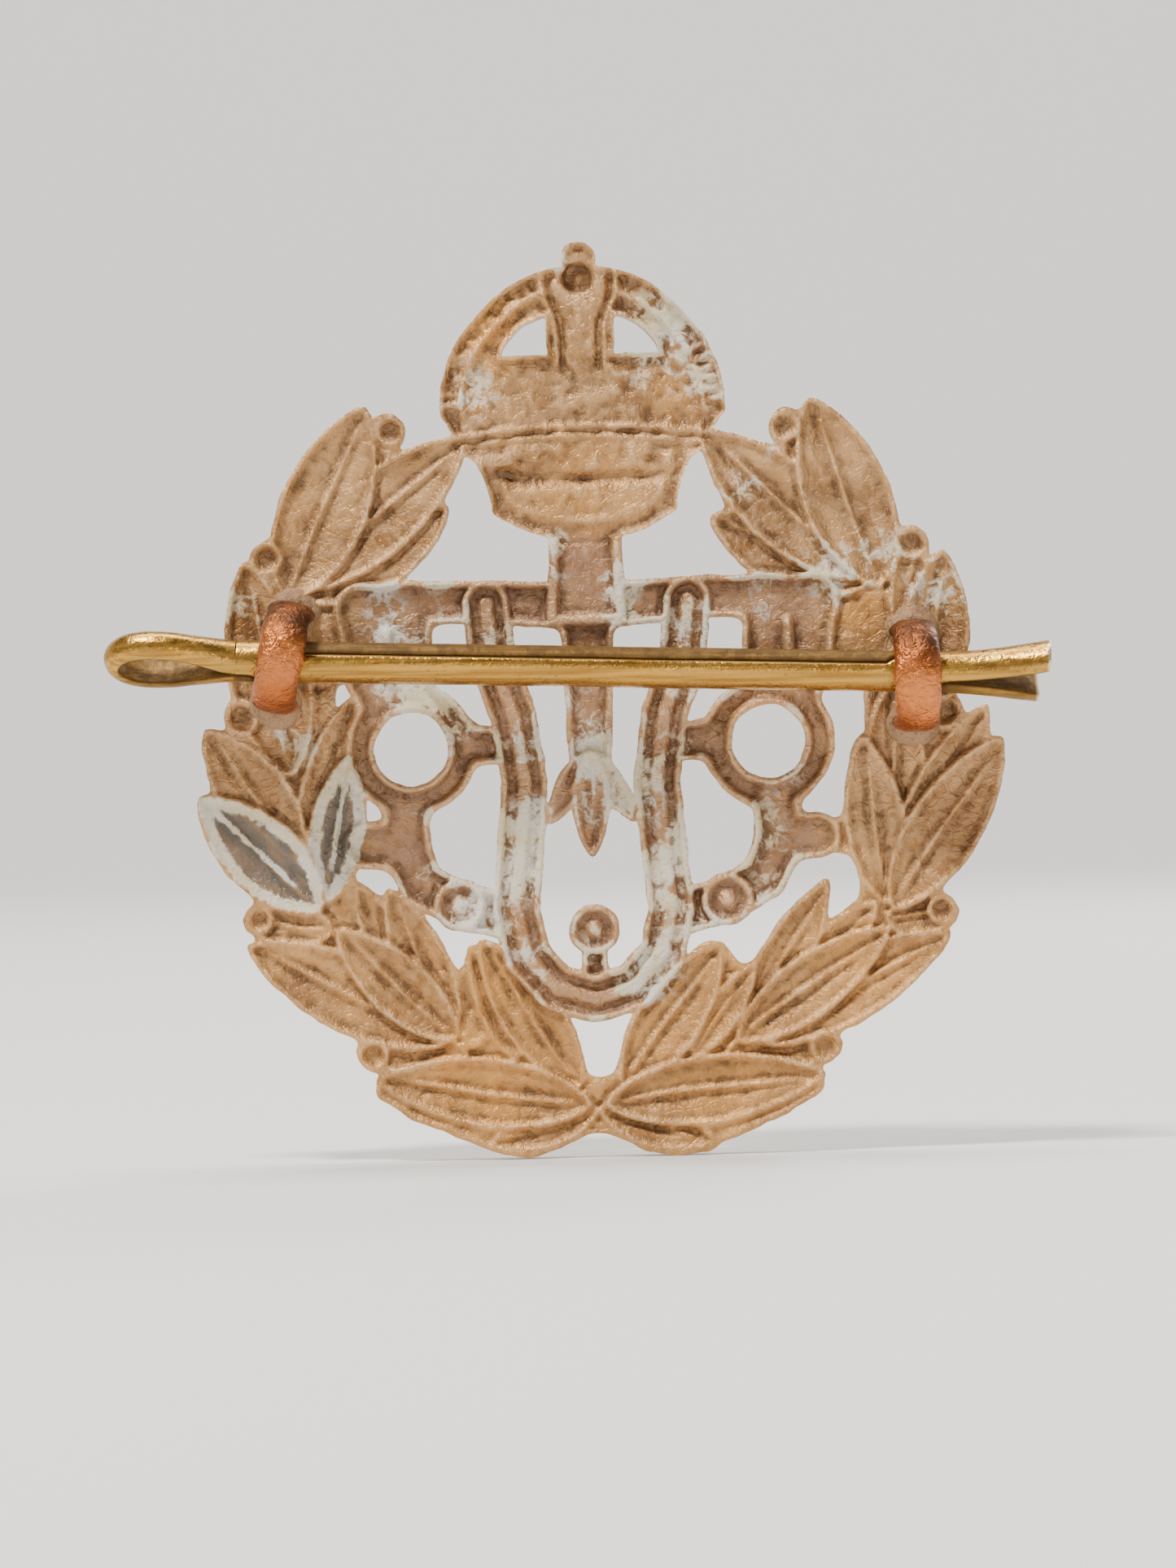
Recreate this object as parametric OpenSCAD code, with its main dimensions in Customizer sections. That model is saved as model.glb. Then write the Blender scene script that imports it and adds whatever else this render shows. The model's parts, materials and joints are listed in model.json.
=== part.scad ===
// Struck brass cap badge seen from its back: a crown over a laurel wreath with pierced scrollwork,
// two copper wire lugs soldered on the back, and a brass split pin through both lugs.
// X runs across the badge, +Z is up as worn, -Y is the back (the lug side) and +Y is the front.
// The origin is midway between the lugs, on the plane of the back rim.

/* [Struck plate] */
// Height of the whole badge, from the stem ends to the finial
badge_h = 47; // [38:0.5:60]
// Thickness of the struck sheet
sheet_t = 1.2; // [0.8:0.1:2]
// Height of the relief that stands in front of the sheet
relief_h = 1.1; // [0.5:0.1:2]
// Width of the flat rim left round each raised form
rim_w = 0.55; // [0.3:0.05:0.9]

/* [Lugs] */
// Distance from the wreath's outer edge to each lug's middle
lug_inset = 3.2; // [2.6:0.1:4.5]
// Outside length of a lug loop along the plate
lug_len = 5.8; // [5:0.1:7]
// Height of a lug's top above the back of the plate
lug_h = 5; // [4.4:0.1:6.5]
// Thickness of the lug wire, measured out from the pin
lug_t = 1.1; // [0.7:0.05:1.4]
// Width of the lug wire along the pin
lug_w = 2.3; // [1.6:0.1:3.2]
// Turn of the eye-side lug in the plane of the plate
lug_turn = 12; // [0:1:14]
// Height of the solder that runs up each lug foot
solder_h = 0.5; // [0.2:0.05:0.8]
// How far the solder spreads past the lug foot
solder_spread = 0.65; // [0.3:0.05:1]

/* [Split pin] */
// Diameter of the two closed legs together
pin_d = 2.1; // [1.4:0.05:2.3]
// Gap between the flats of the two legs
leg_gap = 0.12; // [0.05:0.01:0.3]
// Distance from the pin's middle to the back of the plate
pin_stand = 2.15; // [1.7:0.05:2.6]
// Slope of the pin across the badge, eye end high
pin_slope = 2.3; // [0:0.1:3]
// Length of the eye past its lug
eye_len = 7; // [5:0.5:10]
// Clear width inside the eye
eye_gap = 1.7; // [1:0.1:3]
// Length of the bent leg ends past the other lug
tip_len = 4.7; // [3:0.1:8]
// How much shorter the far leg is cut
tip_step = 0.5; // [0:0.1:1.5]
// Angle that each leg end is sprung away from the pin's line
tip_open = 3.5; // [0:0.5:4]
// Room between a leg and its bent end, where the wire yields
bend_gap = 0.5; // [0.45:0.05:0.7]

/* [Hidden] */
$fn = 48;

brass_back = [0.78, 0.62, 0.46];
copper = [0.74, 0.42, 0.26];
solder_grey = [0.66, 0.66, 0.64];
pin_brass = [0.78, 0.62, 0.26];

// The die drawing is 47 mm high; every outline point below is on it, and k brings it to badge_h.
k = badge_h / 47;
edge_left = -18.8 * k;
edge_right = 19.9 * k;
leaf_steps = 8;
relief_leaf = 1.3;      // leaves narrower than this have no relief of their own
over = 0.2;            // how far stacked solids run into each other
far = 60;              // larger than any part, for cutting boxes

// Each leaf is [base x, base z, tip x, tip z, half width], from the stem outwards.
leaves_left = [
    [-0.4, -22.7, -11.3, -21.2, 1.8], [0, -22.9, -5.6, -24.7, 1.15],
    [-0.9, -21.8, -5.9, -14.1, 1.6], [-4.1, -20.4, -6.5, -14.4, 0.9],
    [-7.2, -19.2, -13.3, -13.4, 1.6], [-7.6, -19.3, -17.9, -14.1, 2],
    [-7.3, -19, -10.6, -11.3, 1.4], [-9.6, -16.4, -12.2, -11, 1],
    [-14, -12.4, -20.2, -6.4, 2], [-13.8, -12, -12.4, -4.4, 1.5],
    [-15, -9.6, -19.8, -2.9, 1.8], [-14.6, -10, -12.1, -1.4, 1.5],
    [-15.4, -5.4, -17.6, 5.6, 2.1], [-15.4, 3.6, -11.2, 13.5, 2.3],
    [-15, 4.2, -6, 11.8, 2.1], [-15, 3.8, -7, 8.2, 2.1], [-15, 4, -9.8, 13, 1.5],
    [-15, 4.2, -7.3, 9.8, 1.4], [-6.6, -20, -12.3, -19.6, 1.2], [-13.4, -13.4, -18, -12.8, 1.2]];
leaves_right = [
    [0.4, -22.7, 11.7, -21.4, 1.8], [0, -22.9, 6, -24.8, 1.2],
    [1.3, -21.8, 6.5, -14.6, 1.7], [4.9, -20.4, 8.3, -15.6, 0.9],
    [7.2, -19.6, 15.2, -14, 1.6], [8.2, -19.6, 18.3, -14.3, 1.8],
    [7.6, -19.2, 12.1, -11.4, 1.3], [10.4, -17, 14.6, -12.6, 1.1],
    [15.4, -13, 21.2, -4.3, 1.9], [15.2, -12.8, 14, -4, 1.6],
    [15.6, -11.4, 20.5, -2.6, 1.5], [15.8, -9.6, 15.6, -1.4, 1.6],
    [17.4, -3, 18.4, 5.4, 1.8], [16.6, 0, 16.8, 6.5, 1.1],
    [15.2, 3.6, 11.7, 13.4, 2.3], [14.6, 4.1, 6.1, 11.8, 2.2],
    [14.4, 3.7, 6.5, 7.4, 2], [14.8, 4, 10.3, 12.8, 1.5], [14.6, 4.1, 6.9, 9.4, 1.6],
    [6.6, -20.2, 12.5, -19.8, 1.3], [15, -13.6, 18.7, -13.1, 1.2]];
// Berries between the sprays: [x, z, radius].
berries_left = [[-16.4, 5.8, 0.85], [-9.9, 12.2, 0.8], [-17.2, -12.8, 0.7], [-11.5, -19.9, 0.8],
                [-17.9, -2.3, 0.9]];
berries_right = [[16.8, 5.8, 0.85], [10.4, 12, 0.8], [17.9, -13.1, 0.75], [11.7, -20, 0.8],
                 [18.3, -2.9, 0.9]];
// The stem under the leaves: [x, z, half width] along its run, from the tie to the top spray.
stem_left = [[0, -22.7, 1.1], [-7.4, -19.6, 1.2], [-14, -12.8, 1.7], [-15.4, -7, 2], [-15.4, 0, 2.4],
             [-14.6, 4, 1.6]];
stem_right = [[0, -22.7, 1.1], [7.4, -20, 1.2], [15.2, -13.4, 1.7], [16.6, -7, 2], [16.4, 0, 2.4],
              [14.6, 4, 1.6]];
// The lowest rim, under the bottom leaves: [x, z, half width].
foot_left = [[-10.9, -21.8, 0.5], [-9.2, -22.9, 0.5], [-7, -23.8, 0.5], [-5.2, -24.5, 0.55],
             [-3.7, -24.75, 0.6], [-2.3, -24.3, 0.6], [-0.9, -23.6, 0.5], [0, -23.4, 0.5]];
foot_right = [[11.1, -22, 0.5], [9.4, -23, 0.5], [7, -24, 0.5], [5.4, -24.6, 0.55],
              [4, -24.8, 0.6], [2.6, -24.5, 0.6], [1.2, -23.8, 0.5], [0, -23.4, 0.5]];
// Webs that tie the wreath to the scrollwork: pairs of [x, z, half width] ends.
webs_left = [[[-14, 1.6, 2.4], [-11.4, 1.7, 2.3]], [[-13, -9, 0.95], [-11.4, -9.1, 0.85]],
             [[-8, -18.6, 1.1], [-5.4, -15.5, 1]]];
webs_right = [[[14, 1.6, 2.4], [11.4, 1.7, 2.3]], [[13.6, -9.2, 0.95], [11.4, -9.1, 0.85]],
              [[8.6, -18.6, 1.1], [6, -15.5, 1]]];

// One side of the lyre-like scrollwork, mirrored: runs of [x, z, half width].
strap_arm = [[0, -17.3, 1.2], [2, -16.7, 1.2], [3.5, -15, 1.2], [4, -12.6, 1.2], [3.7, -9.6, 1.2],
             [3.4, -6, 1.2], [3.9, -2.6, 1.2], [4.9, 0.2, 1.2], [5.2, 3.2, 1.2]];
strap_yoke = [[11.6, 3, 1.3], [8.6, 3.3, 1.1], [5.2, 3.3, 1.1], [1.2, 3, 1.2]];
strap_hanger = [[9.2, 3.2, 1.2], [9.2, -1.4, 1.2]];
strap_foot = [[9.4, -6.8, 1.2], [9.7, -9.2, 1.2], [8.8, -11.2, 1.2], [6.9, -12.3, 1.2], [4.2, -13, 1.2]];
strap_tail = [[9.7, -9.2, 1.2], [11.6, -9.1, 1.2]];
strap_bridge = [[3.6, -4.2, 1], [6.6, -4, 1]];
strap_side = [[11.6, 3, 1.3], [11.4, -0.6, 1.1], [10.8, -1.6, 1.1]];
// The leaf spray at the foot of the middle stave: [base x, base z, tip x, tip z, half width].
palmette = [[0, -4.4, 2.2, -8.2, 0.75], [0, -4.4, -2.2, -8.2, 0.75], [0, -4.4, 0, -10, 1]];
ring_at = [9.2, -4.2];
ring_r = 3.4;
ring_hole_r = 1.9;
volute_r = 1.35;
pellet_r = 1.3;

wreath_cut = 6.2 * k;   // where the top sprays meet the crown's sides
web_cut = 11.6 * k;     // where the scrollwork meets the wreath

lug_left_at = [edge_left + lug_inset, 0.65 * k];
lug_right_at = [edge_right - lug_inset, -1.05 * k];
lug_wire_r = lug_t / 2;
pin_r = pin_d / 2;
pin_roll = -27;         // turn of the slit between the legs, about the pin
eye_roll = 50;          // turn of the eye about the pin
tip_roll = 37;          // turn of the sprung leg ends about the pin
pin_mid_z = -0.2 * k;
eye_bow = eye_gap / 2 + pin_r;
neck = 0.9;             // solid wire where the eye closes
throat = 1.2;           // closed wire between the eye and its lug
yield_room = 0.45;      // closed wire between the other lug and the bend
shank_x0 = lug_left_at[0] - lug_w / 2 - throat;
shank_x1 = lug_right_at[0] + lug_w / 2 + yield_room;
tip_x0 = shank_x1 + bend_gap;

function lens(a, b, h, s) =
    let (d = b - a, n = [-d[1], d[0]] / norm(d))
    a + d * s + n * h * pow(sin(180 * pow(s, 0.9)), 0.65);

// A leaf outline that starts and ends in points, widest just below its middle.
module leaf2d(base, tip, h) {
    up = [for (i = [0 : leaf_steps]) lens(base, tip, h * k, i / leaf_steps)];
    down = [for (i = [leaf_steps - 1 : -1 : 1]) lens(base, tip, -h * k, i / leaf_steps)];
    polygon(concat(up, down));
}

// A straight strip with round ends between two [x, z, half width] stations.
module strip2d(a, b) {
    p = [a[0], a[1]] * k;
    q = [b[0], b[1]] * k;
    d = q - p;
    n = [-d[1], d[0]] / norm(d) * k;
    polygon([p + n * a[2], q + n * b[2], q - n * b[2], p - n * a[2]]);
    translate(p) circle(r = a[2] * k);
    translate(q) circle(r = b[2] * k);
}

module run2d(stations) {
    for (i = [0 : len(stations) - 2]) strip2d(stations[i], stations[i + 1]);
}

// Extrudes a drawing in X and Z between two depths along Y.
module slab(y0, y1) {
    translate([0, y1, 0]) rotate([90, 0, 0]) linear_extrude(y1 - y0) children();
}

module both() {
    children();
    mirror([1, 0, 0]) children();
}

module finial2d() {
    translate([0, 20.85 * k]) circle(r = 0.9 * k);
    polygon([[-1.25, 19.4], [-0.7, 21], [0.7, 21], [1.25, 19.4]] * k);
}

module crown2d(inset) {
    intersection() {
        union() {
            both() translate([0.6, 13.2] * k) circle(r = 6.75 * k - inset);
            translate([0, 13.65 * k]) circle(r = 6.9 * k - inset);
        }
        polygon([[-8, 13.6], [-8, 21], [8, 21], [8, 13.6], [7.1, 12.6], [6.7, 11.9], [6.2, 11],
                 [5.6, 10.5], [5.2, 9.8], [4.9, 8.4], [4.9, 6], [-4.9, 6], [-4.9, 8.4],
                 [-5.2, 9.8], [-5.6, 10.5], [-6.2, 11], [-6.7, 11.9], [-7.1, 12.6]] * k);
    }
}

module crown_hole2d() {
    intersection() {
        translate([1.2, 15] * k) circle(r = 3.05 * k);
        translate([1.75, 15.95] * k) square([3, 3] * k);
    }
}

// The scrollwork between two depths, cut square where the wreath takes over and along the crown.
module scrollwork_slab(y0, y1) {
    difference() {
        union() {
            slab(y0, y1) polygon([[-1.8, 7.6], [1.8, 7.6], [2.1, 2], [-2.1, 2]] * k);
            for (part = [strap_arm, strap_yoke, strap_hanger, strap_foot, strap_tail, strap_bridge,
                         strap_side]) both() slab(y0, y1) run2d(part);
            both() slab(y0, y1) translate(ring_at * k) circle(r = ring_r * k);
            both() slab(y0, y1) translate([6.9, -12.3] * k) circle(r = volute_r * k);
            for (leaf = palmette)
                slab(y0, y1) leaf2d([leaf[0], leaf[1]] * k, [leaf[2], leaf[3]] * k, leaf[4]);
            slab(y0, y1) run2d([[0, 3, 1.4], [0, -5.4, 1.1]]);
            slab(y0, y1) polygon([[-0.75, -17], [-0.6, -14], [0.6, -14], [0.75, -17]] * k);
            slab(y0, y1) translate([0, -13.7] * k) circle(r = pellet_r * k);
        }
        both() slab(y0 - 1, y1 + 1) translate([web_cut, -far]) square(2 * far);
        both() slab(y0 - 1, y1 + 1) translate(ring_at * k) circle(r = ring_hole_r * k);
        slab(y0 - 1, y1 + 1) crown2d(0);
    }
}

module wreath2d(leaves, berries, stem, foot, webs) {
    for (leaf = leaves) leaf2d([leaf[0], leaf[1]] * k, [leaf[2], leaf[3]] * k, leaf[4]);
    for (berry = berries) translate([berry[0], berry[1]] * k) circle(r = berry[2] * k);
    run2d(stem);
    run2d(foot);
    for (web = webs) run2d(web);
}

// Relief that stands in front: a smaller leaf on each broad leaf.
module wreath_relief2d(leaves) {
    for (leaf = leaves)
        if (leaf[4] > relief_leaf)
            leaf2d([leaf[0], leaf[1]] * k, [leaf[2], leaf[3]] * k, leaf[4] - rim_w);
}

module wreath(leaves, berries, stem, foot, webs, side) {
    color(brass_back) difference() {
        union() {
            slab(0, sheet_t) wreath2d(leaves, berries, stem, foot, webs);
            slab(sheet_t - over, sheet_t + relief_h) wreath_relief2d(leaves);
        }
        scrollwork_slab(-1, far);
        slab(-1, far) crown2d(0);
        slab(-1, far) translate([-wreath_cut, 5 * k]) square([2 * wreath_cut, 20 * k]);
        slab(-1, far) translate([side > 0 ? -far : 0, -far]) square([far, 2 * far]);
        slab(-1, far) translate([-web_cut, -8 * k]) square([2 * web_cut, 11 * k]);
    }
}

module crown() {
    color(brass_back) difference() {
        union() {
            slab(0, sheet_t) crown2d(0);
            slab(0, sheet_t) finial2d();
            slab(sheet_t - over, sheet_t + relief_h) intersection() {
                crown2d(rim_w);
                translate([-far, 8.6 * k]) square([2 * far, far]);
            }
            translate([0, sheet_t, 20.75 * k]) sphere(r = 0.75 * k);
        }
        slab(-1, far) both() crown_hole2d();
    }
}

module scrollwork() {
    color(brass_back) scrollwork_slab(0, sheet_t + relief_h / 2);
}

module wreath_left() {
    wreath(leaves_left, berries_left, stem_left, foot_left, webs_left, -1);
}

module wreath_right() {
    wreath(leaves_right, berries_right, stem_right, foot_right, webs_right, 1);
}

// The wire's section: flattened, with round edges.
module lug_section2d() {
    half = lug_w / 2 - lug_wire_r;
    translate([-lug_wire_r, -half]) square([lug_t, 2 * half]);
    translate([0, half]) circle(r = lug_wire_r);
    translate([0, -half]) circle(r = lug_wire_r);
}

module lug(at, turn) {
    bow_r = lug_len / 2 - lug_wire_r;
    bow_y = lug_h - lug_len / 2;
    translate([at[0], 0, at[1]]) rotate([0, turn, 0]) color(copper) {
        translate([0, -bow_y, 0]) rotate([0, 90, 0]) rotate([0, 0, 180])
            rotate_extrude(angle = 180) translate([bow_r, 0]) lug_section2d();
        for (end = [-1, 1]) translate([0, 0, end * bow_r]) rotate([90, 0, 0])
            rotate([0, 0, 90]) linear_extrude(bow_y) lug_section2d();
    }
}

// A low collar of solder round each foot of a lug.
module solder(at, turn) {
    bow_r = lug_len / 2 - lug_wire_r;
    foot_r = lug_w / 2;
    color(solder_grey) difference() {
        translate([at[0], 0, at[1]]) rotate([0, turn, 0])
            for (end = [-1, 1]) translate([0, 0, end * (bow_r + solder_spread / 4)]) rotate([90, 0, 0])
                cylinder(r1 = foot_r + solder_spread / 2, r2 = foot_r - 0.1, h = solder_h);
        lug(at, turn);
    }
}

module lug_left() { lug(lug_left_at, lug_turn); }
module lug_right() { lug(lug_right_at, 0); }
module solder_left() { solder(lug_left_at, lug_turn); }
module solder_right() { solder(lug_right_at, 0); }

// Places what is drawn along X on the pin's own line.
module on_pin() {
    translate([0, -pin_stand, pin_mid_z]) rotate([0, pin_slope, 0]) children();
}

// A half-round wire along X from x0 to x1, its flat towards the pin's middle.
// side 1 bulges up and side -1 bulges down, before the roll about the pin.
module half_round(x0, x1, side, roll) {
    rotate([roll, 0, 0]) intersection() {
        translate([x0, 0, 0]) rotate([0, 90, 0]) cylinder(r = pin_r, h = x1 - x0);
        translate([x0 - 1, -far, side > 0 ? leg_gap / 2 : -far - leg_gap / 2])
            cube([x1 - x0 + 2, 2 * far, far]);
    }
}

module eye_end(x, turn) {
    translate([x, 0, 0]) rotate([90, 0, 0]) rotate([0, 0, turn]) rotate_extrude(angle = 180)
        translate([eye_gap / 2, 0]) intersection() {
            circle(r = pin_r);
            translate([0, -far / 2]) square(far);
        }
}

module pin_eye() {
    x0 = shank_x0 - eye_len + eye_bow;
    x1 = shank_x0 - eye_bow;
    color(pin_brass) on_pin() {
        rotate([eye_roll, 0, 0]) {
            eye_end(x0, 90);
            eye_end(x1, -90);
            for (side = [-1, 1]) translate([0, 0, side * eye_gap / 2]) intersection() {
                translate([x0, 0, 0]) rotate([0, 90, 0]) cylinder(r = pin_r, h = x1 - x0);
                translate([x0 - 1, -far, side > 0 ? 0 : -far]) cube([far, 2 * far, far]);
            }
        }
        translate([shank_x0 - neck, 0, 0]) rotate([0, 90, 0]) cylinder(r = pin_r, h = neck);
    }
}

module pin_near_leg() {
    color(pin_brass) on_pin() half_round(shank_x0, shank_x1, -1, pin_roll);
}

module pin_far_leg() {
    color(pin_brass) on_pin() half_round(shank_x0, shank_x1, 1, pin_roll);
}

// A sprung leg end, turned about the place where the wire yields.
module tip(side, length) {
    color(pin_brass) on_pin() rotate([tip_roll, 0, 0]) translate([shank_x1, 0, 0])
        rotate([0, -side * tip_open, 0]) translate([-shank_x1, 0, 0])
            half_round(tip_x0, tip_x0 + length, side, 0);
}

module pin_near_tip() { tip(1, tip_len); }
module pin_far_tip() { tip(-1, tip_len - tip_step); }

crown();
scrollwork();
wreath_left();
wreath_right();
lug_left();
lug_right();
solder_left();
solder_right();
pin_eye();
pin_near_leg();
pin_far_leg();
pin_near_tip();
pin_far_tip();
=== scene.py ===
# %% [markdown]
# # A struck brass cap badge, seen from its back
#
# The badge is one sheet of brass struck between two dies, so its back is a hollow cast of its front.
# Two copper wire loops are soldered on, and a brass split pin through both loops holds the badge on a
# cap. The CAD model carries the sizes, bodies and joints. This script draws the same pieces again with
# the relief, the soft edges and the age that the solids leave out.

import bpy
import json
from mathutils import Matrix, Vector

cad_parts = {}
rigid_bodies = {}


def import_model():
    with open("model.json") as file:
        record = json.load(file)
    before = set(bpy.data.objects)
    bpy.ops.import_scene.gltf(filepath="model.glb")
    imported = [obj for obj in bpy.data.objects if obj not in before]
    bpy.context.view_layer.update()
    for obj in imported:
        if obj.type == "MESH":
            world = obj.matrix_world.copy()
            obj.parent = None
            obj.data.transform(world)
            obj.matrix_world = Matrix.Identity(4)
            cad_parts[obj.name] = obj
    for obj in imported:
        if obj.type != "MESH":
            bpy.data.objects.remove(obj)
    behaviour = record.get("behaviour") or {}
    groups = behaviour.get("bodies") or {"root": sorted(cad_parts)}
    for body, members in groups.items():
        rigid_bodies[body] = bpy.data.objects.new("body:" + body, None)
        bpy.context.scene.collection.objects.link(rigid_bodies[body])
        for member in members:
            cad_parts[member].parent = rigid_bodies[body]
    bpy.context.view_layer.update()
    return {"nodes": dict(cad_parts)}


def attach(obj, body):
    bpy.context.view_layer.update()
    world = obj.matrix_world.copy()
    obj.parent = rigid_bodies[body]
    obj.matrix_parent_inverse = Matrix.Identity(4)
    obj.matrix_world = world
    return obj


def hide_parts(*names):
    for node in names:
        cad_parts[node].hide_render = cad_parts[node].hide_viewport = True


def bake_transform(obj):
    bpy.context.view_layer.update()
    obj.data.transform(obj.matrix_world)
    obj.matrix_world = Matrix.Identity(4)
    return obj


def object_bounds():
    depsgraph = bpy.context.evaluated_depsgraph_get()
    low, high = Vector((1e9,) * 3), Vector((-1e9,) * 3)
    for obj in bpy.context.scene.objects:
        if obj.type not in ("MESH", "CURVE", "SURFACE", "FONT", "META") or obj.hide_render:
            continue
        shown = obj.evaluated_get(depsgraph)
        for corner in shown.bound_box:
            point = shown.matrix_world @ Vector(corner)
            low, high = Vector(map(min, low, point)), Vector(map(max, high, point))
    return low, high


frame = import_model()

import json
import math

import bpy
import numpy as np
from mathutils import Matrix, Vector

MM = 0.001
print("CAD nodes:", sorted(frame["nodes"]))

# %% [markdown]
# ## Smooth steps, blur and seeded noise
#
# Everything on the struck plate is drawn as a height over a fine grid. Three small tools are enough:
# a smooth step that turns a distance into a rounded shoulder, a blur that stands for metal flowing in
# the die, and a noise that gives corroded metal its lumps. The noise has fixed seeds, so each run gives
# the same badge.


# %% Tools for heights
LATTICE = 256
LATTICE_MIDDLE = 1000.0


def ease(value, low, high):
    """0 below low, 1 above high, and 3t^2 - 2t^3 between, where t is how far value has come."""
    t = np.clip((value - low) / (high - low), 0, 1)
    return t * t * (3 - 2 * t)


def bell(value, width):
    """exp(-(value / width)^2): 1 on a line and falling away on both sides."""
    return np.exp(-(value / width) ** 2)


def blur(grid, width):
    """Each value becomes the mean of its neighbours, weighted by a bell of that width in cells."""
    reach = int(3 * width) + 1
    taps = np.exp(-0.5 * (np.arange(-reach, reach + 1) / width) ** 2)
    taps /= taps.sum()
    for axis in (0, 1):
        grid = sum(tap * np.roll(grid, k - reach, axis) for k, tap in enumerate(taps))
    return grid


def lumps(x, z, size, seed):
    """Seeded random numbers every size mm, blended between their four neighbours by 3t^2 - 2t^3."""
    lattice = np.random.default_rng(seed).random((LATTICE, LATTICE))
    u, v = x / size + LATTICE_MIDDLE, z / size + LATTICE_MIDDLE
    i, j = np.floor(u).astype(int), np.floor(v).astype(int)
    s, t = ease(u - i, 0, 1), ease(v - j, 0, 1)
    i, j, right, above = i % LATTICE, j % LATTICE, (i + 1) % LATTICE, (j + 1) % LATTICE
    low_row = lattice[i, j] * (1 - s) + lattice[right, j] * s
    high_row = lattice[i, above] * (1 - s) + lattice[right, above] * s
    return low_row * (1 - t) + high_row * t


# %% [markdown]
# ## The drawing of the badge
#
# These are the same outline tables as in the CAD source, in millimetres, with X across and Z up. A leaf
# is a base, a tip and a half width. A run is a chain of stations with a half width at each.

# %% Tables of the drawing
LEAVES = {
    -1: [(-0.4, -22.7, -11.3, -21.2, 1.8), (0, -22.9, -5.6, -24.7, 1.15),
         (-0.9, -21.8, -5.9, -14.1, 1.6), (-4.1, -20.4, -6.5, -14.4, 0.9),
         (-7.2, -19.2, -13.3, -13.4, 1.6), (-7.6, -19.3, -17.9, -14.1, 2),
         (-7.3, -19, -10.6, -11.3, 1.4), (-9.6, -16.4, -12.2, -11, 1),
         (-14, -12.4, -20.2, -6.4, 2), (-13.8, -12, -12.4, -4.4, 1.5),
         (-15, -9.6, -19.8, -2.9, 1.8), (-14.6, -10, -12.1, -1.4, 1.5),
         (-15.4, -5.4, -17.6, 5.6, 2.1), (-15.4, 3.6, -11.2, 13.5, 2.3),
         (-15, 4.2, -6, 11.8, 2.1), (-15, 3.8, -7, 8.2, 2.1), (-15, 4, -9.8, 13, 1.5),
         (-15, 4.2, -7.3, 9.8, 1.4), (-6.6, -20, -12.3, -19.6, 1.2),
         (-13.4, -13.4, -18, -12.8, 1.2)],
    1: [(0.4, -22.7, 11.7, -21.4, 1.8), (0, -22.9, 6, -24.8, 1.2),
        (1.3, -21.8, 6.5, -14.6, 1.7), (4.9, -20.4, 8.3, -15.6, 0.9),
        (7.2, -19.6, 15.2, -14, 1.6), (8.2, -19.6, 18.3, -14.3, 1.8),
        (7.6, -19.2, 12.1, -11.4, 1.3), (10.4, -17, 14.6, -12.6, 1.1),
        (15.4, -13, 21.2, -4.3, 1.9), (15.2, -12.8, 14, -4, 1.6),
        (15.6, -11.4, 20.5, -2.6, 1.5), (15.8, -9.6, 15.6, -1.4, 1.6),
        (17.4, -3, 18.4, 5.4, 1.8), (16.6, 0, 16.8, 6.5, 1.1),
        (15.2, 3.6, 11.7, 13.4, 2.3), (14.6, 4.1, 6.1, 11.8, 2.2),
        (14.4, 3.7, 6.5, 7.4, 2), (14.8, 4, 10.3, 12.8, 1.5), (14.6, 4.1, 6.9, 9.4, 1.6),
        (6.6, -20.2, 12.5, -19.8, 1.3), (15, -13.6, 18.7, -13.1, 1.2)]}
BERRIES = [(-16.4, 5.8, 0.85), (-9.9, 12.2, 0.8), (-17.2, -12.8, 0.7), (-11.5, -19.9, 0.8),
           (-17.9, -2.3, 0.9), (16.8, 5.8, 0.85), (10.4, 12, 0.8), (17.9, -13.1, 0.75),
           (11.7, -20, 0.8), (18.3, -2.9, 0.9)]
STEMS = [[(0, -22.7, 1.1), (-7.4, -19.6, 1.2), (-14, -12.8, 1.7), (-15.4, -7, 2), (-15.4, 0, 2.4),
          (-14.6, 4, 1.6)],
         [(0, -22.7, 1.1), (7.4, -20, 1.2), (15.2, -13.4, 1.7), (16.6, -7, 2), (16.4, 0, 2.4),
          (14.6, 4, 1.6)],
         [(-10.9, -21.8, 0.5), (-9.2, -22.9, 0.5), (-7, -23.8, 0.5), (-5.2, -24.5, 0.55),
          (-3.7, -24.75, 0.6), (-2.3, -24.3, 0.6), (-0.9, -23.6, 0.5), (0, -23.4, 0.5)],
         [(11.1, -22, 0.5), (9.4, -23, 0.5), (7, -24, 0.5), (5.4, -24.6, 0.55),
          (4, -24.8, 0.6), (2.6, -24.5, 0.6), (1.2, -23.8, 0.5), (0, -23.4, 0.5)],
         [(-14, 1.6, 2.4), (-11.4, 1.7, 2.3)], [(-13, -9, 0.95), (-11.4, -9.1, 0.85)],
         [(-8, -18.6, 1.1), (-5.4, -15.5, 1)], [(-6.4, -19, 0.7), (-5.8, -18.1, 0.7)],
         [(14, 1.6, 2.4), (11.4, 1.7, 2.3)],
         [(13.6, -9.2, 0.95), (11.4, -9.1, 0.85)], [(8.6, -18.6, 1.1), (6, -15.5, 1)]]
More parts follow.
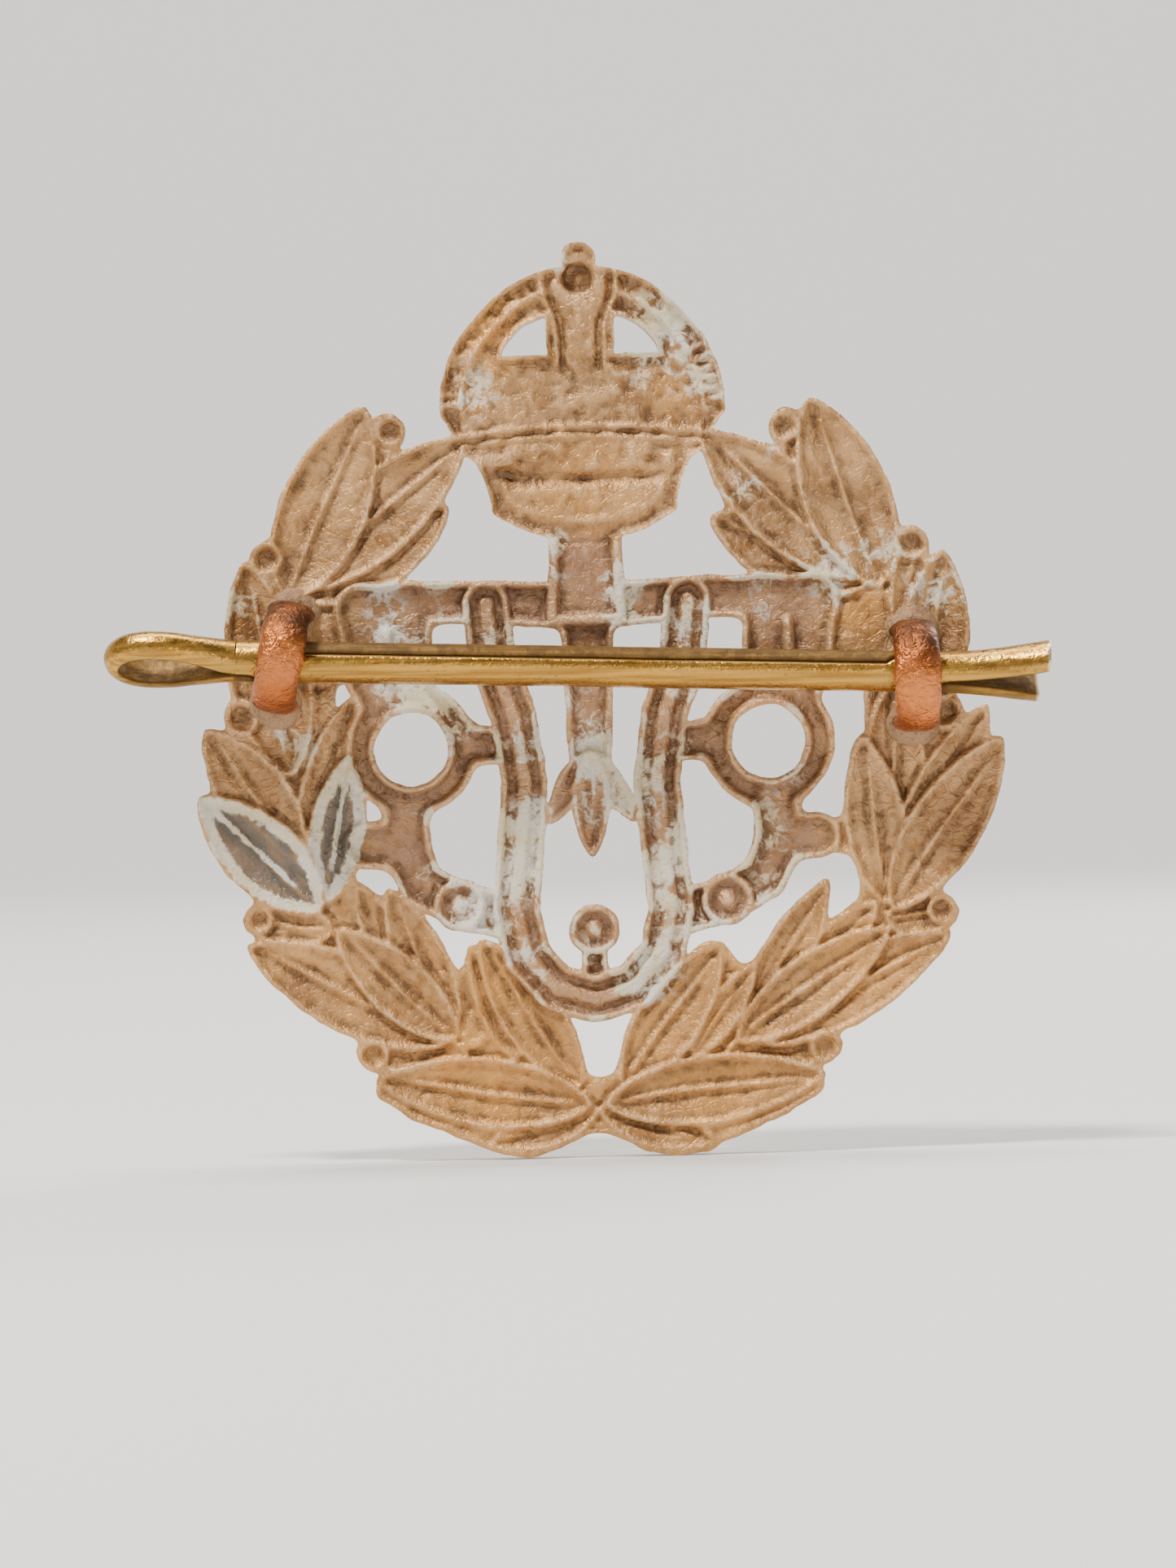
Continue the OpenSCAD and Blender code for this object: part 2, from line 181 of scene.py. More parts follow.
STRAPS = [[(3.6, -4.2, 1), (6.6, -4, 1)],
          [(9.4, -6.8, 1.2), (9.7, -9.2, 1.2), (8.8, -11.2, 1.2), (6.9, -12.3, 1.2), (4.2, -13, 1.2)],
          [(9.7, -9.2, 1.2), (11.6, -9.1, 1.2)], [(9.2, 3.2, 1.2), (9.2, -1.4, 1.2)],
          [(11.6, 3, 1.3), (8.6, 3.3, 1.1), (5.2, 3.3, 1.1), (1.2, 3, 1.2)],
          [(11.6, 3, 1.3), (11.4, -0.6, 1.1), (10.8, -1.6, 1.1)],
          [(0, -17.3, 1.2), (2, -16.7, 1.2), (3.5, -15, 1.2), (4, -12.6, 1.2), (3.7, -9.6, 1.2),
           (3.4, -6, 1.2), (3.9, -2.6, 1.2), (4.9, 0.2, 1.2), (5.2, 3.2, 1.2)]]
PALMETTE = [(0, -4.4, 2.2, -8.2, 0.75), (0, -4.4, -2.2, -8.2, 0.75), (0, -4.4, 0, -10, 1)]
PELLETS = [(6.9, -12.3, 1.35), (-6.9, -12.3, 1.35), (0, -13.7, 1.3)]
RING_X, RING_Z, RING_RADIUS, RING_HOLE = 9.2, -4.2, 3.4, 1.9
# Half the width of the pierced middle, the sheet's thickness and the front's highest rise.
WEB_CUT = 11.6
SHEET = 1.2
RELIEF = 1.1
STEP = 0.1

# %% Lay a fine grid over the badge
columns = np.arange(-218, 220) * STEP
rows = np.arange(-262, 226) * STEP
X, Z = np.meshgrid(columns, rows, indexing="ij")
print("grid:", X.shape, "points,", STEP, "mm apart")

# %% [markdown]
# ## Outlines as distances
#
# A die cutter thinks in outlines. Here an outline is a distance: how many millimetres a point lies
# inside a leaf, a strap or a ring, and less than nothing outside. Distances are easy to join (take the
# larger), to pierce (take the smaller) and to round over.


# %% Distance into a leaf, a run and a disc
LEAF_LEAN = 0.9
LEAF_FULLNESS = 0.65
SOFT_JOIN = 5.0


def leaf_distance(leaf):
    """Half width h*sin(pi*s^lean)^fullness less the offset from the centre line, by the edge's slope."""
    ax, az, bx, bz, h = leaf
    length = math.hypot(bx - ax, bz - az)
    ux, uz = (bx - ax) / length, (bz - az) / length
    s = ((X - ax) * ux + (Z - az) * uz) / length
    across = (Z - az) * ux - (X - ax) * uz
    c = np.clip(s, 0.004, 0.996)
    wave = np.sin(np.pi * c ** LEAF_LEAN)
    half = h * wave ** LEAF_FULLNESS
    slope = h * LEAF_FULLNESS * wave ** (LEAF_FULLNESS - 1) * np.cos(np.pi * c ** LEAF_LEAN)
    slope = slope * np.pi * LEAF_LEAN * c ** (LEAF_LEAN - 1) / length
    inside = (half - np.abs(across)) / np.sqrt(1 + slope ** 2)
    beyond = np.hypot(across, (s - np.clip(s, 0, 1)) * length)
    return np.where((s < 0) | (s > 1), -beyond, inside), s, across, half


def run_distance(stations, x):
    """The largest of (radius - distance) over the run's tapered pieces."""
    best = np.full(X.shape, -99.0)
    for (ax, az, ar), (bx, bz, br) in zip(stations, stations[1:]):
        dx, dz = bx - ax, bz - az
        s = np.clip(((x - ax) * dx + (Z - az) * dz) / (dx * dx + dz * dz), 0, 1)
        best = np.maximum(best, ar + (br - ar) * s - np.hypot(x - ax - s * dx, Z - az - s * dz))
    return best


def disc_distance(x, cx, cz, r):
    """Radius less the distance to the middle."""
    return r - np.hypot(x - cx, Z - cz)


# %% The crown's outline
AX = np.abs(X)
crown_side = np.interp(Z, [8.2, 9.4, 10.5, 11, 11.9, 12.6, 13.6], [4.75, 5.05, 5.5, 6.2, 6.7, 7.1, 8])
crown_solid = np.minimum(np.maximum(disc_distance(AX, 0.6, 13.2, 6.75), disc_distance(X, 0, 13.65, 6.9)),
                         crown_side - AX)
finial = np.maximum(disc_distance(X, 0, 20.85, 0.9),
                    np.minimum(np.minimum(Z - 19.2, 21.2 - Z), np.interp(Z, [19.4, 21], [1.25, 0.7]) - AX))
crown_hole = np.minimum(np.minimum(disc_distance(AX, 1.2, 15, 3.05), AX - 1.75), Z - 15.95)
crown_shape = np.maximum(crown_solid, finial)

# %% [markdown]
# ## Relief, layer by layer
#
# Each form is laid over the ones before it, as the die cutter sank them: stems first, then the sprays
# from the top down, then berries. For the back each layer gives a depth, for the front a rise. A leaf is
# a bowl with a raised midrib and two side ribs, folded a little along its middle, and its lip is worn
# away in places. A strap is a trough between two rims. All depths and widths are in millimetres.


# %% Profiles across each form
WEAR = lumps(X, Z, 1.7, 41)
LIP_DEPTH, BOWL_DEPTH, MIDRIB_RISE, RIB_RISE, LIP_RISE, FOLD_TILT = 0.08, 0.44, 0.32, 0.14, 0.10, 0.07


def leaf_relief(distance, s, across, half):
    """Back: lip + bowl - midrib - ribs, tilted by the fold. Front: a rounded leaf with a cut midrib."""
    along = ease(s, 0.02, 0.12) * (1 - ease(s, 0.82, 0.97))
    share = across / np.maximum(half, 0.3)
    bowl = 0.55 * ease(distance, 0.12, 0.45) + 0.45 * ease(distance, 0.25, 1.25)
    midrib = bell(across - 0.12 * np.sin(s * 5), 0.13) * along
    ribs = bell(np.abs(share) - 0.46, 0.24) * ease(s, 0.05, 0.3)
    lip = bell(distance - 0.10, 0.10) * (0.1 + 1.1 * WEAR)
    back = LIP_DEPTH + BOWL_DEPTH * bowl - MIDRIB_RISE * midrib * bowl - RIB_RISE * ribs * bowl
    back = back - LIP_RISE * lip + FOLD_TILT * np.clip(share, -1, 1) * bowl
    front = 0.30 + 0.75 * ease(distance, 0, 1.3) - 0.22 * bell(across, 0.12) * along - 0.07 * ribs
    return back, front


def strap_relief(distance, ridge=0.0):
    """Back: a flat trough between rims, with a low ridge along its middle. Front: a rounded strap."""
    back = 0.46 * ease(distance, 0.22, 0.46) - ridge * ease(distance, 0.72, 0.95)
    return back, 0.18 + 0.34 * ease(distance, 0.0, 0.8)


# %% Compose the wreath
CRUSTED_LEAVES = (8, 9)
back_depth = np.full(X.shape, 0.22)
front_rise = np.full(X.shape, 0.12)
joined = np.zeros(X.shape)
cream = np.zeros(X.shape)
ash = np.zeros(X.shape)


def lay(distance, back, front):
    """Blends a layer over what is there, across 0.1 mm at its outline."""
    global back_depth, front_rise
    cover = ease(distance, -0.05, 0.06)
    groove = 0.10 * bell(distance + 0.16, 0.12) * (1 - cover)
    back_depth = (back_depth + groove) * (1 - cover) + back * cover
    front_rise = (front_rise - groove) * (1 - cover) + front * cover


for run in STEMS:
    distance = run_distance(run, X)
    joined += np.exp(SOFT_JOIN * distance)
    lay(distance, 0.08 + 0.16 * ease(distance, 0.1, 0.8), 0.1 + 0.2 * ease(distance, 0, 1.0))
for side in (-1, 1):
    for number in reversed(range(len(LEAVES[side]))):
        distance, s, across, half = leaf_distance(LEAVES[side][number])
        joined += np.exp(SOFT_JOIN * distance)
        lay(distance, *leaf_relief(distance, s, across, half))
        cover = ease(distance, -0.05, 0.1)
        crusted = 1.0 if side < 0 and number in CRUSTED_LEAVES else 0.0
        edge = bell(distance - 0.42, 0.36) + 0.9 * bell(across, 0.16) * ease(s, 0.15, 0.3)
        cream = cream * (1 - cover) + crusted * cover * np.clip(edge, 0, 1)
        streaks = 0.65 + 0.5 * lumps(across, s * half * 0.8, 0.22, 56)
        ash = ash * (1 - cover) + crusted * cover * ease(distance, 0.5, 0.8) * streaks
for x, z, r in BERRIES:
    distance = disc_distance(X, x, z, r)
    joined += np.exp(SOFT_JOIN * distance)
    lay(distance, 0.08 + 0.34 * ease(distance, 0.12, 0.5), 0.25 + 0.75 * ease(distance, 0, 0.8))
wreath_shape = np.log(joined) / SOFT_JOIN
wreath_shape = np.minimum(wreath_shape, np.maximum(np.maximum(AX - WEB_CUT, Z - 3), -8 - Z))
print("wreath: leaves", len(LEAVES[-1]) + len(LEAVES[1]), "berries", len(BERRIES))

# %% Compose the scrollwork
ring_hole = disc_distance(AX, RING_X, RING_Z, RING_HOLE)
stalk = np.minimum(np.minimum(-14 - Z, Z + 17), np.interp(Z, [-17, -14], [0.75, 0.6]) - AX)
post = np.minimum(np.minimum(12 - Z, Z - 2), np.interp(Z, [2, 7.6], [2.1, 1.8]) - AX)
frets = [run_distance(run, AX) for run in STRAPS[:-1]]
frets += [disc_distance(AX, RING_X, RING_Z, RING_RADIUS), stalk,
          run_distance([(0, 3, 1.4), (0, -5.4, 1.1)], X)]
joined_frets = np.log(sum(np.exp(SOFT_JOIN * d) for d in frets)) / SOFT_JOIN
joined_frets = np.minimum(joined_frets, -ring_hole)
arms = run_distance(STRAPS[-1], AX)
lay(joined_frets, *strap_relief(joined_frets))
lay(arms, *strap_relief(arms, 0.22))
lay(post, 0.42 * ease(post, 0.38, 0.72) - 0.10 * bell(post - 0.3, 0.12), 0.2 + 0.3 * ease(post, 0, 0.8))
scroll_shape = np.maximum(np.maximum(joined_frets, arms), np.minimum(post, 7.6 - Z))
for leaf in PALMETTE:
    distance, s, across, half = leaf_distance(leaf)
    scroll_shape = np.maximum(scroll_shape, distance)
    lay(distance, *leaf_relief(distance, s, across, half))
for x, z, r in PELLETS:
    distance = disc_distance(X, x, z, r)
    scroll_shape = np.maximum(scroll_shape, distance)
    lay(distance, 0.34 * ease(distance, 0.2, 0.5) - 0.26 * ease(distance, 0.75, 1.1),
        0.2 + 0.34 * ease(distance, 0, 0.8))
print("scrollwork: runs", len(STRAPS), "palmette leaves", len(PALMETTE), "pellets", len(PELLETS))

# %% [markdown]
# ## The crown
#
# The crown has a beaded arch on each side, a strip up its middle, a rough field, a double ridge, a band
# of jewels and a smooth band over a groove. All of these are heights too. The beads follow the arch by
# angle, and the jewels are lumps of noise that the die has softened.

# %% Compose the crown
BEAD_TURN = 0.092
crown_rim = np.minimum(crown_solid, np.where(Z > 12, 9, crown_side - AX + 9))
angle = np.arctan2(Z - 13.2, AX - 0.6)
beads = 0.5 + 0.5 * np.cos(angle * 2 * np.pi / BEAD_TURN)
arch = ease(Z, 12.6, 13.6)
bead_row = bell(crown_rim - 0.55, 0.34) * arch
field = 0.22 + 0.24 * lumps(X, Z, 0.85, 5) + 0.20 * lumps(X, Z, 0.38, 6)
inner_band = ease(crown_rim, 1.05, 1.35) * (1 - ease(crown_rim, 2.15, 2.45)) * ease(Z, 14.2, 15.6)
strip = np.interp(Z, [15.2, 17.6, 19.2], [1.0, 1.05, 1.7])
in_strip = ease(strip - AX, -0.05, 0.15) * ease(Z, 15.2, 15.6)
crown_back = field * (1 - inner_band) + 0.50 * inner_band
kept_beads = ease(lumps(X, Z, 2.2, 8) + 0.25 * (X < 0), 0.3, 0.8)
crown_back = crown_back - 0.26 * bell(crown_rim - 1.08, 0.16) * arch
crown_back = crown_back + 0.44 * bead_row * (beads - 0.7) * kept_beads
crown_back = crown_back * (1 - in_strip) + (0.22 + 0.18 * lumps(X, Z, 0.5, 7)) * in_strip
strip_edges = bell(AX - strip + 0.10, 0.12) - bell(AX - strip - 0.22, 0.17)
crown_back += 0.30 * strip_edges * ease(Z, 15.0, 15.6)
sag = Z + 0.012 * X ** 2
for level, height, width in [(12.28, -0.22, 0.13), (11.98, 0.10, 0.12), (11.72, -0.20, 0.14)]:
    crown_back += height * bell(sag - level, width)
jewels = ease(lumps(X, Z, 0.62, 11), 0.35, 0.75) * bell(sag - 10.75, 0.62)
below = ease(-sag, -11.75, -11.45)
crown_back = crown_back * (1 - below) + (0.38 - 0.30 * jewels + 0.10 * lumps(X, Z, 0.33, 12)) * below
bowed = sag - 0.02 * X ** 2
smooth_band = ease(-bowed, -9.95, -9.55) * (1 - ease(AX, 3.6, 5.0)) * ease(crown_rim, 0.9, 1.6)
crown_back += 0.34 * bell(bowed - 9.55, 0.30) * (1 - ease(AX, 3.4, 4.7)) - 0.10 * smooth_band
crown_back -= 0.16 * bell(crown_rim - 0.95, 0.25) * (1 - ease(Z, 9, 10))
crown_back += 0.55 * ease(disc_distance(X, -0.1, 19.9, 0.95), 0, 0.40)
crown_front = 0.25 + 0.85 * ease(crown_rim, 0, 0.9) * ease(Z, 8.3, 8.9) - 0.7 * (crown_back - 0.33)
crown_front += 0.15 * bead_row * beads
crown_front += 0.75 * np.sqrt(np.clip(1 - ((X ** 2 + (Z - 20.75) ** 2) / 0.5625), 0, 1))
lay(crown_shape, crown_back, np.clip(crown_front, 0, RELIEF))
print("crown: deepest hollow", round(float(crown_back[crown_shape > 0].max()), 2), "mm")

# %% [markdown]
# ## Join the outlines and roughen them
#
# The struck sheet was sawn out between the forms, so its edges wander a little. The joined distance is
# blurred by less than a cell, then a slow noise moves it by a few hundredths of a millimetre. The back
# gets the crust of old lacquer and corrosion, and every edge is rubbed round.

# %% One outline, two surfaces
outline = np.minimum(np.maximum(np.maximum(crown_shape, wreath_shape), scroll_shape), -crown_hole)
outline = blur(outline, 0.8) + 0.10 * (lumps(X, Z, 0.8, 21) - 0.5) + 0.05 * (lumps(X, Z, 0.35, 22) - 0.5)
crust = 0.09 * (lumps(X, Z, 1.3, 31) - 0.5) + 0.06 * (lumps(X, Z, 0.5, 32) - 0.5)
crust += 0.035 * (lumps(X, Z, 0.24, 33) - 0.5)
back_depth = (blur(back_depth, 0.75) + crust) * ease(outline, 0.02, 0.34)
back_depth = np.clip(back_depth, 0, 0.95) + 0.12 * (1 - ease(outline, 0, 0.2))
front_face = SHEET + blur(front_rise, 1.0) + 0.3 * crust - 0.38 * (1 - ease(outline, 0, 0.5))
print("sheet is", round(float((front_face - back_depth)[outline > 0.3].min()), 2), "mm at its thinnest")

# %% Colour masks: where metal is rubbed, crusted, warm or plum, and where hollows and creases get painted shade with grime
detail = back_depth - blur(back_depth, 4.5)
creases = blur(back_depth, 1.0) - blur(back_depth, 2.4)
rub = np.clip(-0.8 * detail / 0.12 - 2.0 * np.clip(creases / 0.05, 0, 1), 0, 1)
# Painted shade with grime: the back is darkened where it lies below its surroundings and in its creases.
grime_and_shade = np.clip(0.12 * detail / 0.12 + 0.9 * (creases - 0.008) / 0.04, 0, 1)
rub *= 0.30 + 0.95 * lumps(X, Z, 1.9, 51)
grime_and_shade *= 0.45 + 0.85 * lumps(X, Z, 1.2, 52)
# Painted shade: noisy patches that darken the deep hollows further.
hollow_shade_patches = ease(lumps(X, Z, 2.6, 54) + 0.5 * lumps(X, Z, 0.5, 55), 0.45, 1.15)
grime_and_shade = np.clip(grime_and_shade + 0.55 * hollow_shade_patches * ease(back_depth, 0.22, 0.5), 0, 1)
front_detail = front_face - blur(front_face, 5)
front_rub = np.clip(front_detail / 0.14, 0, 1)
# Painted shade with grime in the front's recesses.
front_grime_and_shade = np.clip(-front_detail / 0.14, 0, 1)
# Patches of crust: x, z, radius, strength.
CREAM_SPOTS = [(-4.1, -8.3, 1.5, 1.2), (-3.9, -10.6, 1.3, 1.0), (-10.3, 2.6, 1.6, 0.9),
               (-8.9, -1.6, 1.7, 1.1), (-7.0, -3.2, 1.0, 0.7), (0.2, -5.0, 1.3, 0.9),
               (2.6, -6.8, 1.4, 1.0), (4.0, -10.2, 1.6, 1.0), (4.2, -13.4, 1.5, 0.9),
               (-5.6, -12.6, 1.7, 1.2), (-1.4, 6.6, 0.9, 0.7), (1.8, 4.0, 1.0, 0.6),
               (2.8, 1.6, 1.2, 0.8), (4.6, 17.8, 1.8, 1.3), (6.4, 14.6, 1.4, 1.1),
               (3.2, 15.2, 1.8, 0.7), (-5.6, 14.3, 1.6, 1.0), (12.6, 4.4, 1.9, 1.0),
               (18.0, 3.2, 1.8, 1.0), (-18.3, 3.4, 1.6, 0.8), (-15.4, -3.6, 1.8, 0.8),
               (15.2, 5.6, 1.3, 0.8), (8.2, 8.8, 1.2, 0.8), (9.8, 10.9, 1.0, 0.5), (3.2, -16.2, 1.5, 0.9),
               (9.9, -9.4, 1.3, 0.5), (-1.0, 20.9, 0.9, 0.8), (-10.6, -0.4, 1.3, 0.7),
               (-8.6, 9.6, 1.2, 0.3), (8.2, -13.0, 1.4, 0.4), (0.6, -4.6, 1.0, 0.8)]
WARM_SPOTS = [(-5.2, -20.4, 3.4, 1.0), (-3.4, -15.5, 2.4, 0.6), (14.2, 2.4, 1.3, 1.5),
              (8.9, -2.4, 2.2, 1.3), (-4.4, 17.3, 2.2, 1.0), (-0.4, 8.9, 3.0, 0.7),
              (9.4, -7.2, 1.5, 0.6), (-17.2, 8.6, 3.0, 0.4), (6.4, -20.4, 3.6, 0.6),
              (14.6, -14.8, 3.0, 0.4), (-9.2, -4.2, 1.6, 0.6), (4.4, 13.9, 1.4, 0.7)]


def patches(spots):
    """The sum of strength * exp(-(distance / radius)^2) over all patches."""
    return sum(k * bell(np.hypot(X - x, Z - z), r) for x, z, r, k in spots)


on_scroll = (ease(WEB_CUT - AX, -1.5, 1.0) * ease(-Z, -7.5, -5.5) * ease(scroll_shape, -0.2, 0.2))
plum = np.clip(on_scroll * 0.85 + patches([(6.0, 17.2, 2.2, 0.9), (-2, 6, 2.0, 0.3)]), 0, 1)
bloom = on_scroll * (0.35 + 0.8 * rub) * ease(lumps(X, Z, 1.5, 53), 0.42, 0.8)
cream = np.clip(cream + patches(CREAM_SPOTS) * (0.55 + 0.7 * rub) + 0.9 * bloom, 0, 1)
warm = np.clip(patches(WARM_SPOTS) + 0.45 * ease(-Z, 8, 16) * (1 - on_scroll), 0, 1)
print("masks cover:", {n: round(float(m[outline > 0].mean()), 2) for n, m in
                       (("rub", rub), ("grime_and_shade", grime_and_shade), ("cream", cream), ("warm", warm), ("plum", plum))})

# %% [markdown]
# ## From heights to closed shells
#
# Grid cells whose middle lies inside the outline become two faces, one on the back and one on the
# front. Cells that meet only at a corner are joined first, in a few passes. Points on the outline are
# moved onto it along the distance's slope, and every outline edge gets a wall. The plate is split into
# the CAD model's four regions along shared grid lines.

# %% Inside cells and their owners
CORNER_PASSES = 3
MOST_SHIFT = 0.085
middle = (outline[:-1, :-1] + outline[1:, :-1] + outline[:-1, 1:] + outline[1:, 1:]) / 4
inside = middle > 0
for _ in range(CORNER_PASSES):
    a, b, c, d = inside[:-1, :-1], inside[1:, :-1], inside[:-1, 1:], inside[1:, 1:]
    touching = (a & d & ~b & ~c) | (b & c & ~a & ~d)
    inside[:-1, :-1] |= touching
    inside[1:, 1:] |= touching
    inside[1:, :-1] |= touching
    inside[:-1, 1:] |= touching
cell_x = (X[:-1, :-1] + X[1:, 1:]) / 2
cells = [(m[:-1, :-1] + m[1:, 1:]) / 2 for m in (crown_shape, scroll_shape, wreath_shape)]
is_crown = (cells[0] > 0) | (cells[0] > np.maximum(cells[1], cells[2]))
is_scroll = ~is_crown & (np.abs(cell_x) < WEB_CUT) & (cells[1] >= np.minimum(cells[2], 0.05))
owner = np.where(is_crown, 0, np.where(is_scroll, 1, np.where(cell_x < 0, 2, 3)))
slope_x, slope_z = np.gradient(outline, STEP)
steep = np.maximum(slope_x ** 2 + slope_z ** 2, 0.2)
around = np.zeros(X.shape, int)
for i in (slice(None, -1), slice(1, None)):
    for j in (slice(None, -1), slice(1, None)):
        around[i, j] += inside
on_edge = (around > 0) & (around < 4)
shift = np.where(on_edge, outline / steep, 0)
PX = X - np.clip(shift * slope_x, -MOST_SHIFT, MOST_SHIFT)
PZ = Z - np.clip(shift * slope_z, -MOST_SHIFT, MOST_SHIFT)
print("cells:", int(inside.sum()), "outline points:", int(on_edge.sum()))


# %% Build a mesh from arrays
def make_mesh(name, points, quads, sharp=None):
    """A smooth mesh from points in mm and quads, with its volume, the sum of p0 . (p1 x p2), positive.

    A quad whose last corner is its first one again is a triangle.
    """
    p = np.asarray(points, float) * MM
    q = np.asarray(quads)
    flow = np.einsum("ij,ij->i", p[q[:, 0]], np.cross(p[q[:, 1]], p[q[:, 2]]))
    flow += np.einsum("ij,ij->i", p[q[:, 0]], np.cross(p[q[:, 2]], p[q[:, 3]]))
    if flow.sum() < 0:
        q = q[:, ::-1]
    corners = np.where(q[:, 3] == q[:, 0], 3, 4)
    used_corners = q[np.arange(4) < corners[:, None]]
    mesh = bpy.data.meshes.new(name)
    mesh.vertices.add(len(p))
    mesh.vertices.foreach_set("co", p.astype(np.float32).ravel())
    mesh.loops.add(len(used_corners))
    mesh.loops.foreach_set("vertex_index", used_corners.astype(np.int32))
    mesh.polygons.add(len(q))
    mesh.polygons.foreach_set("loop_start", (np.cumsum(corners) - corners).astype(np.int32))
    mesh.polygons.foreach_set("use_smooth", np.ones(len(q), bool))
    mesh.update(calc_edges=True)
    if sharp is not None:
        pairs = np.zeros(len(mesh.edges) * 2, int)
        mesh.edges.foreach_get("vertices", pairs)
        pairs = np.sort(pairs.reshape(-1, 2), axis=1)
        keys = np.sort(np.asarray(sharp), axis=1)
        flags = np.isin(pairs[:, 0] * len(p) + pairs[:, 1], keys[:, 0] * len(p) + keys[:, 1])
        mesh.attributes.new("sharp_edge", "BOOLEAN", "EDGE").data.foreach_set("value", flags)
    thing = bpy.data.objects.new(name, mesh)
    bpy.context.scene.collection.objects.link(thing)
    print(f"{name}: {len(p)} points, {len(q)} faces")
    return thing


def paint(thing, name, values):
    """Stores one number per point, which a material reads by that name."""
    data = thing.data.attributes.new(name, "FLOAT", "POINT").data
    data.foreach_set("value", np.asarray(values, np.float32).ravel())


# %% Four regions of the struck plate
def plate_region(name, number):
    """Back and front faces of this owner's cells, and a wall wherever the next cell isn't its own."""
    mine = inside & (owner == number)
    size = X.shape[1]
    i, j = np.nonzero(mine)
    corner = i * size + j
    back = np.stack([corner, corner + size, corner + size + 1, corner + 1], axis=1)
    offset = X.size
    front = back[:, ::-1] + offset
    padded = np.pad(mine, 1)
    walls, rims = [], []
    for di, dj, a, b in [(0, -1, 0, 1), (1, 0, 1, 2), (0, 1, 2, 3), (-1, 0, 3, 0)]:
        open_side = ~padded[i + 1 + di, j + 1 + dj]
        start, end = back[open_side, a], back[open_side, b]
        walls.append(np.stack([end, start, start + offset, end + offset], axis=1))
        rims += [np.stack([start, end], axis=1), np.stack([start, end], axis=1) + offset]
    faces = np.concatenate([back, front] + walls)
    used, compact = np.unique(faces, return_inverse=True)
    lookup = np.zeros(2 * offset, int)
    lookup[used] = np.arange(len(used))
    px, pz = np.tile(PX.ravel(), 2)[used], np.tile(PZ.ravel(), 2)[used]
    py = np.concatenate([back_depth.ravel(), front_face.ravel()])[used]
    thing = make_mesh(name, np.stack([px, py, pz], axis=1), compact.reshape(faces.shape),
                      sharp=lookup[np.concatenate(rims)])
    blank = np.zeros(offset)
    for label, on_back, on_front in [("rub", rub, front_rub), ("grime_and_shade", grime_and_shade, front_grime_and_shade),
                                     ("cream", cream, blank), ("ash", ash, blank),
                                     ("warm", warm, blank), ("plum", plum, blank),
                                     ("front", blank, blank + 1)]:
        paint(thing, label, np.concatenate([on_back.ravel(), on_front.ravel()])[used])
    return thing


plate = {}
for number, region in enumerate(["crown", "scrollwork", "wreath_left", "wreath_right"]):
    plate[region] = plate_region("struck_" + region, number)
    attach(plate[region], "badge")
    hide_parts(region)

# %% [markdown]
# ## Sweeping a wire
#
# Loops and split pins are bent wire. A wire is a section carried along a path: at each station the
# section is set down across the path, between a side direction and an outward one. The ends are drawn
# in by two smaller rings, so the cut has a soft edge, and then closed by a fan.


# %% Sweep a closed section along a path
def sweep(name, path, side, out, section, soft_end=0.10):
    """Point = path + section x * side + section y * out, ringed along the path; returns the mesh."""
    path, side, out = (np.asarray(a, float) for a in (path, side, out))
    around_count = section.shape[-2]
    section = np.broadcast_to(section, (len(path), around_count, 2))
    rings = path[:, None] + section[:, :, :1] * side[:, None] + section[:, :, 1:] * out[:, None]
    ends = []
    for ring, inner in ((rings[0], rings[1]), (rings[-1], rings[-2])):
        centre = ring.mean(0)
        away = centre - inner.mean(0)
        away /= np.linalg.norm(away)
        ends.append([centre + (ring - centre) * k + away * soft_end * g
                     for k, g in ((0.97, 0.55), (0.90, 0.9), (0.78, 1.0))])
        ends[-1].append(centre[None] + away * soft_end)
    rings = np.concatenate([np.stack(ends[0][:3][::-1]), rings, np.stack(ends[1][:3])])
    count = len(rings)
    points = np.concatenate([rings.reshape(-1, 3), ends[0][3], ends[1][3]])
    i, j = np.meshgrid(np.arange(count - 1), np.arange(around_count), indexing="ij")
    k = (j + 1) % around_count
    quads = np.stack([i * around_count + j, i * around_count + k, (i + 1) * around_count + k,
                      (i + 1) * around_count + j], axis=-1).reshape(-1, 4)
    a = np.arange(around_count)
    b = (a + 1) % around_count
    first = np.full(around_count, count * around_count)
    last = (count - 1) * around_count
    caps = [np.stack([first, b, a, first], axis=1),
            np.stack([first + 1, last + a, last + b, first + 1], axis=1)]
    return make_mesh(name, points, np.concatenate([quads] + caps)), points


ARC_POINTS, FLAT_POINTS, TRACK_POINTS = 32, 12, 40
CORNER_UP, CORNER_IN = 0.14, 0.06


def half_round(radius, flat):
    """A D: (r sin t, r cos t) round one side, and a flat that starts a little in from the arc's ends."""
    top = math.acos((flat + CORNER_UP) / radius)
    turn = np.linspace(-top, top, ARC_POINTS)
    arc = np.stack([radius * np.sin(turn), radius * np.cos(turn)], axis=1)
    width = arc[-1, 0] - CORNER_IN
    across = np.linspace(width, -width, FLAT_POINTS)
    return np.concatenate([arc, np.stack([across, np.full(FLAT_POINTS, flat)], axis=1)])


def racetrack(width, thick):
    """A flattened round wire: |x / a|^2.4 + |y / b|^1.9 = 1, x along the width and y across it."""
    turn = np.linspace(0, 2 * np.pi, TRACK_POINTS, endpoint=False)
    c, s = np.cos(turn), np.sin(turn)
    return np.stack([width / 2 * np.sign(c) * np.abs(c) ** (2 / 2.4),
                     thick / 2 * np.sign(s) * np.abs(s) ** (2 / 1.9)], axis=1)
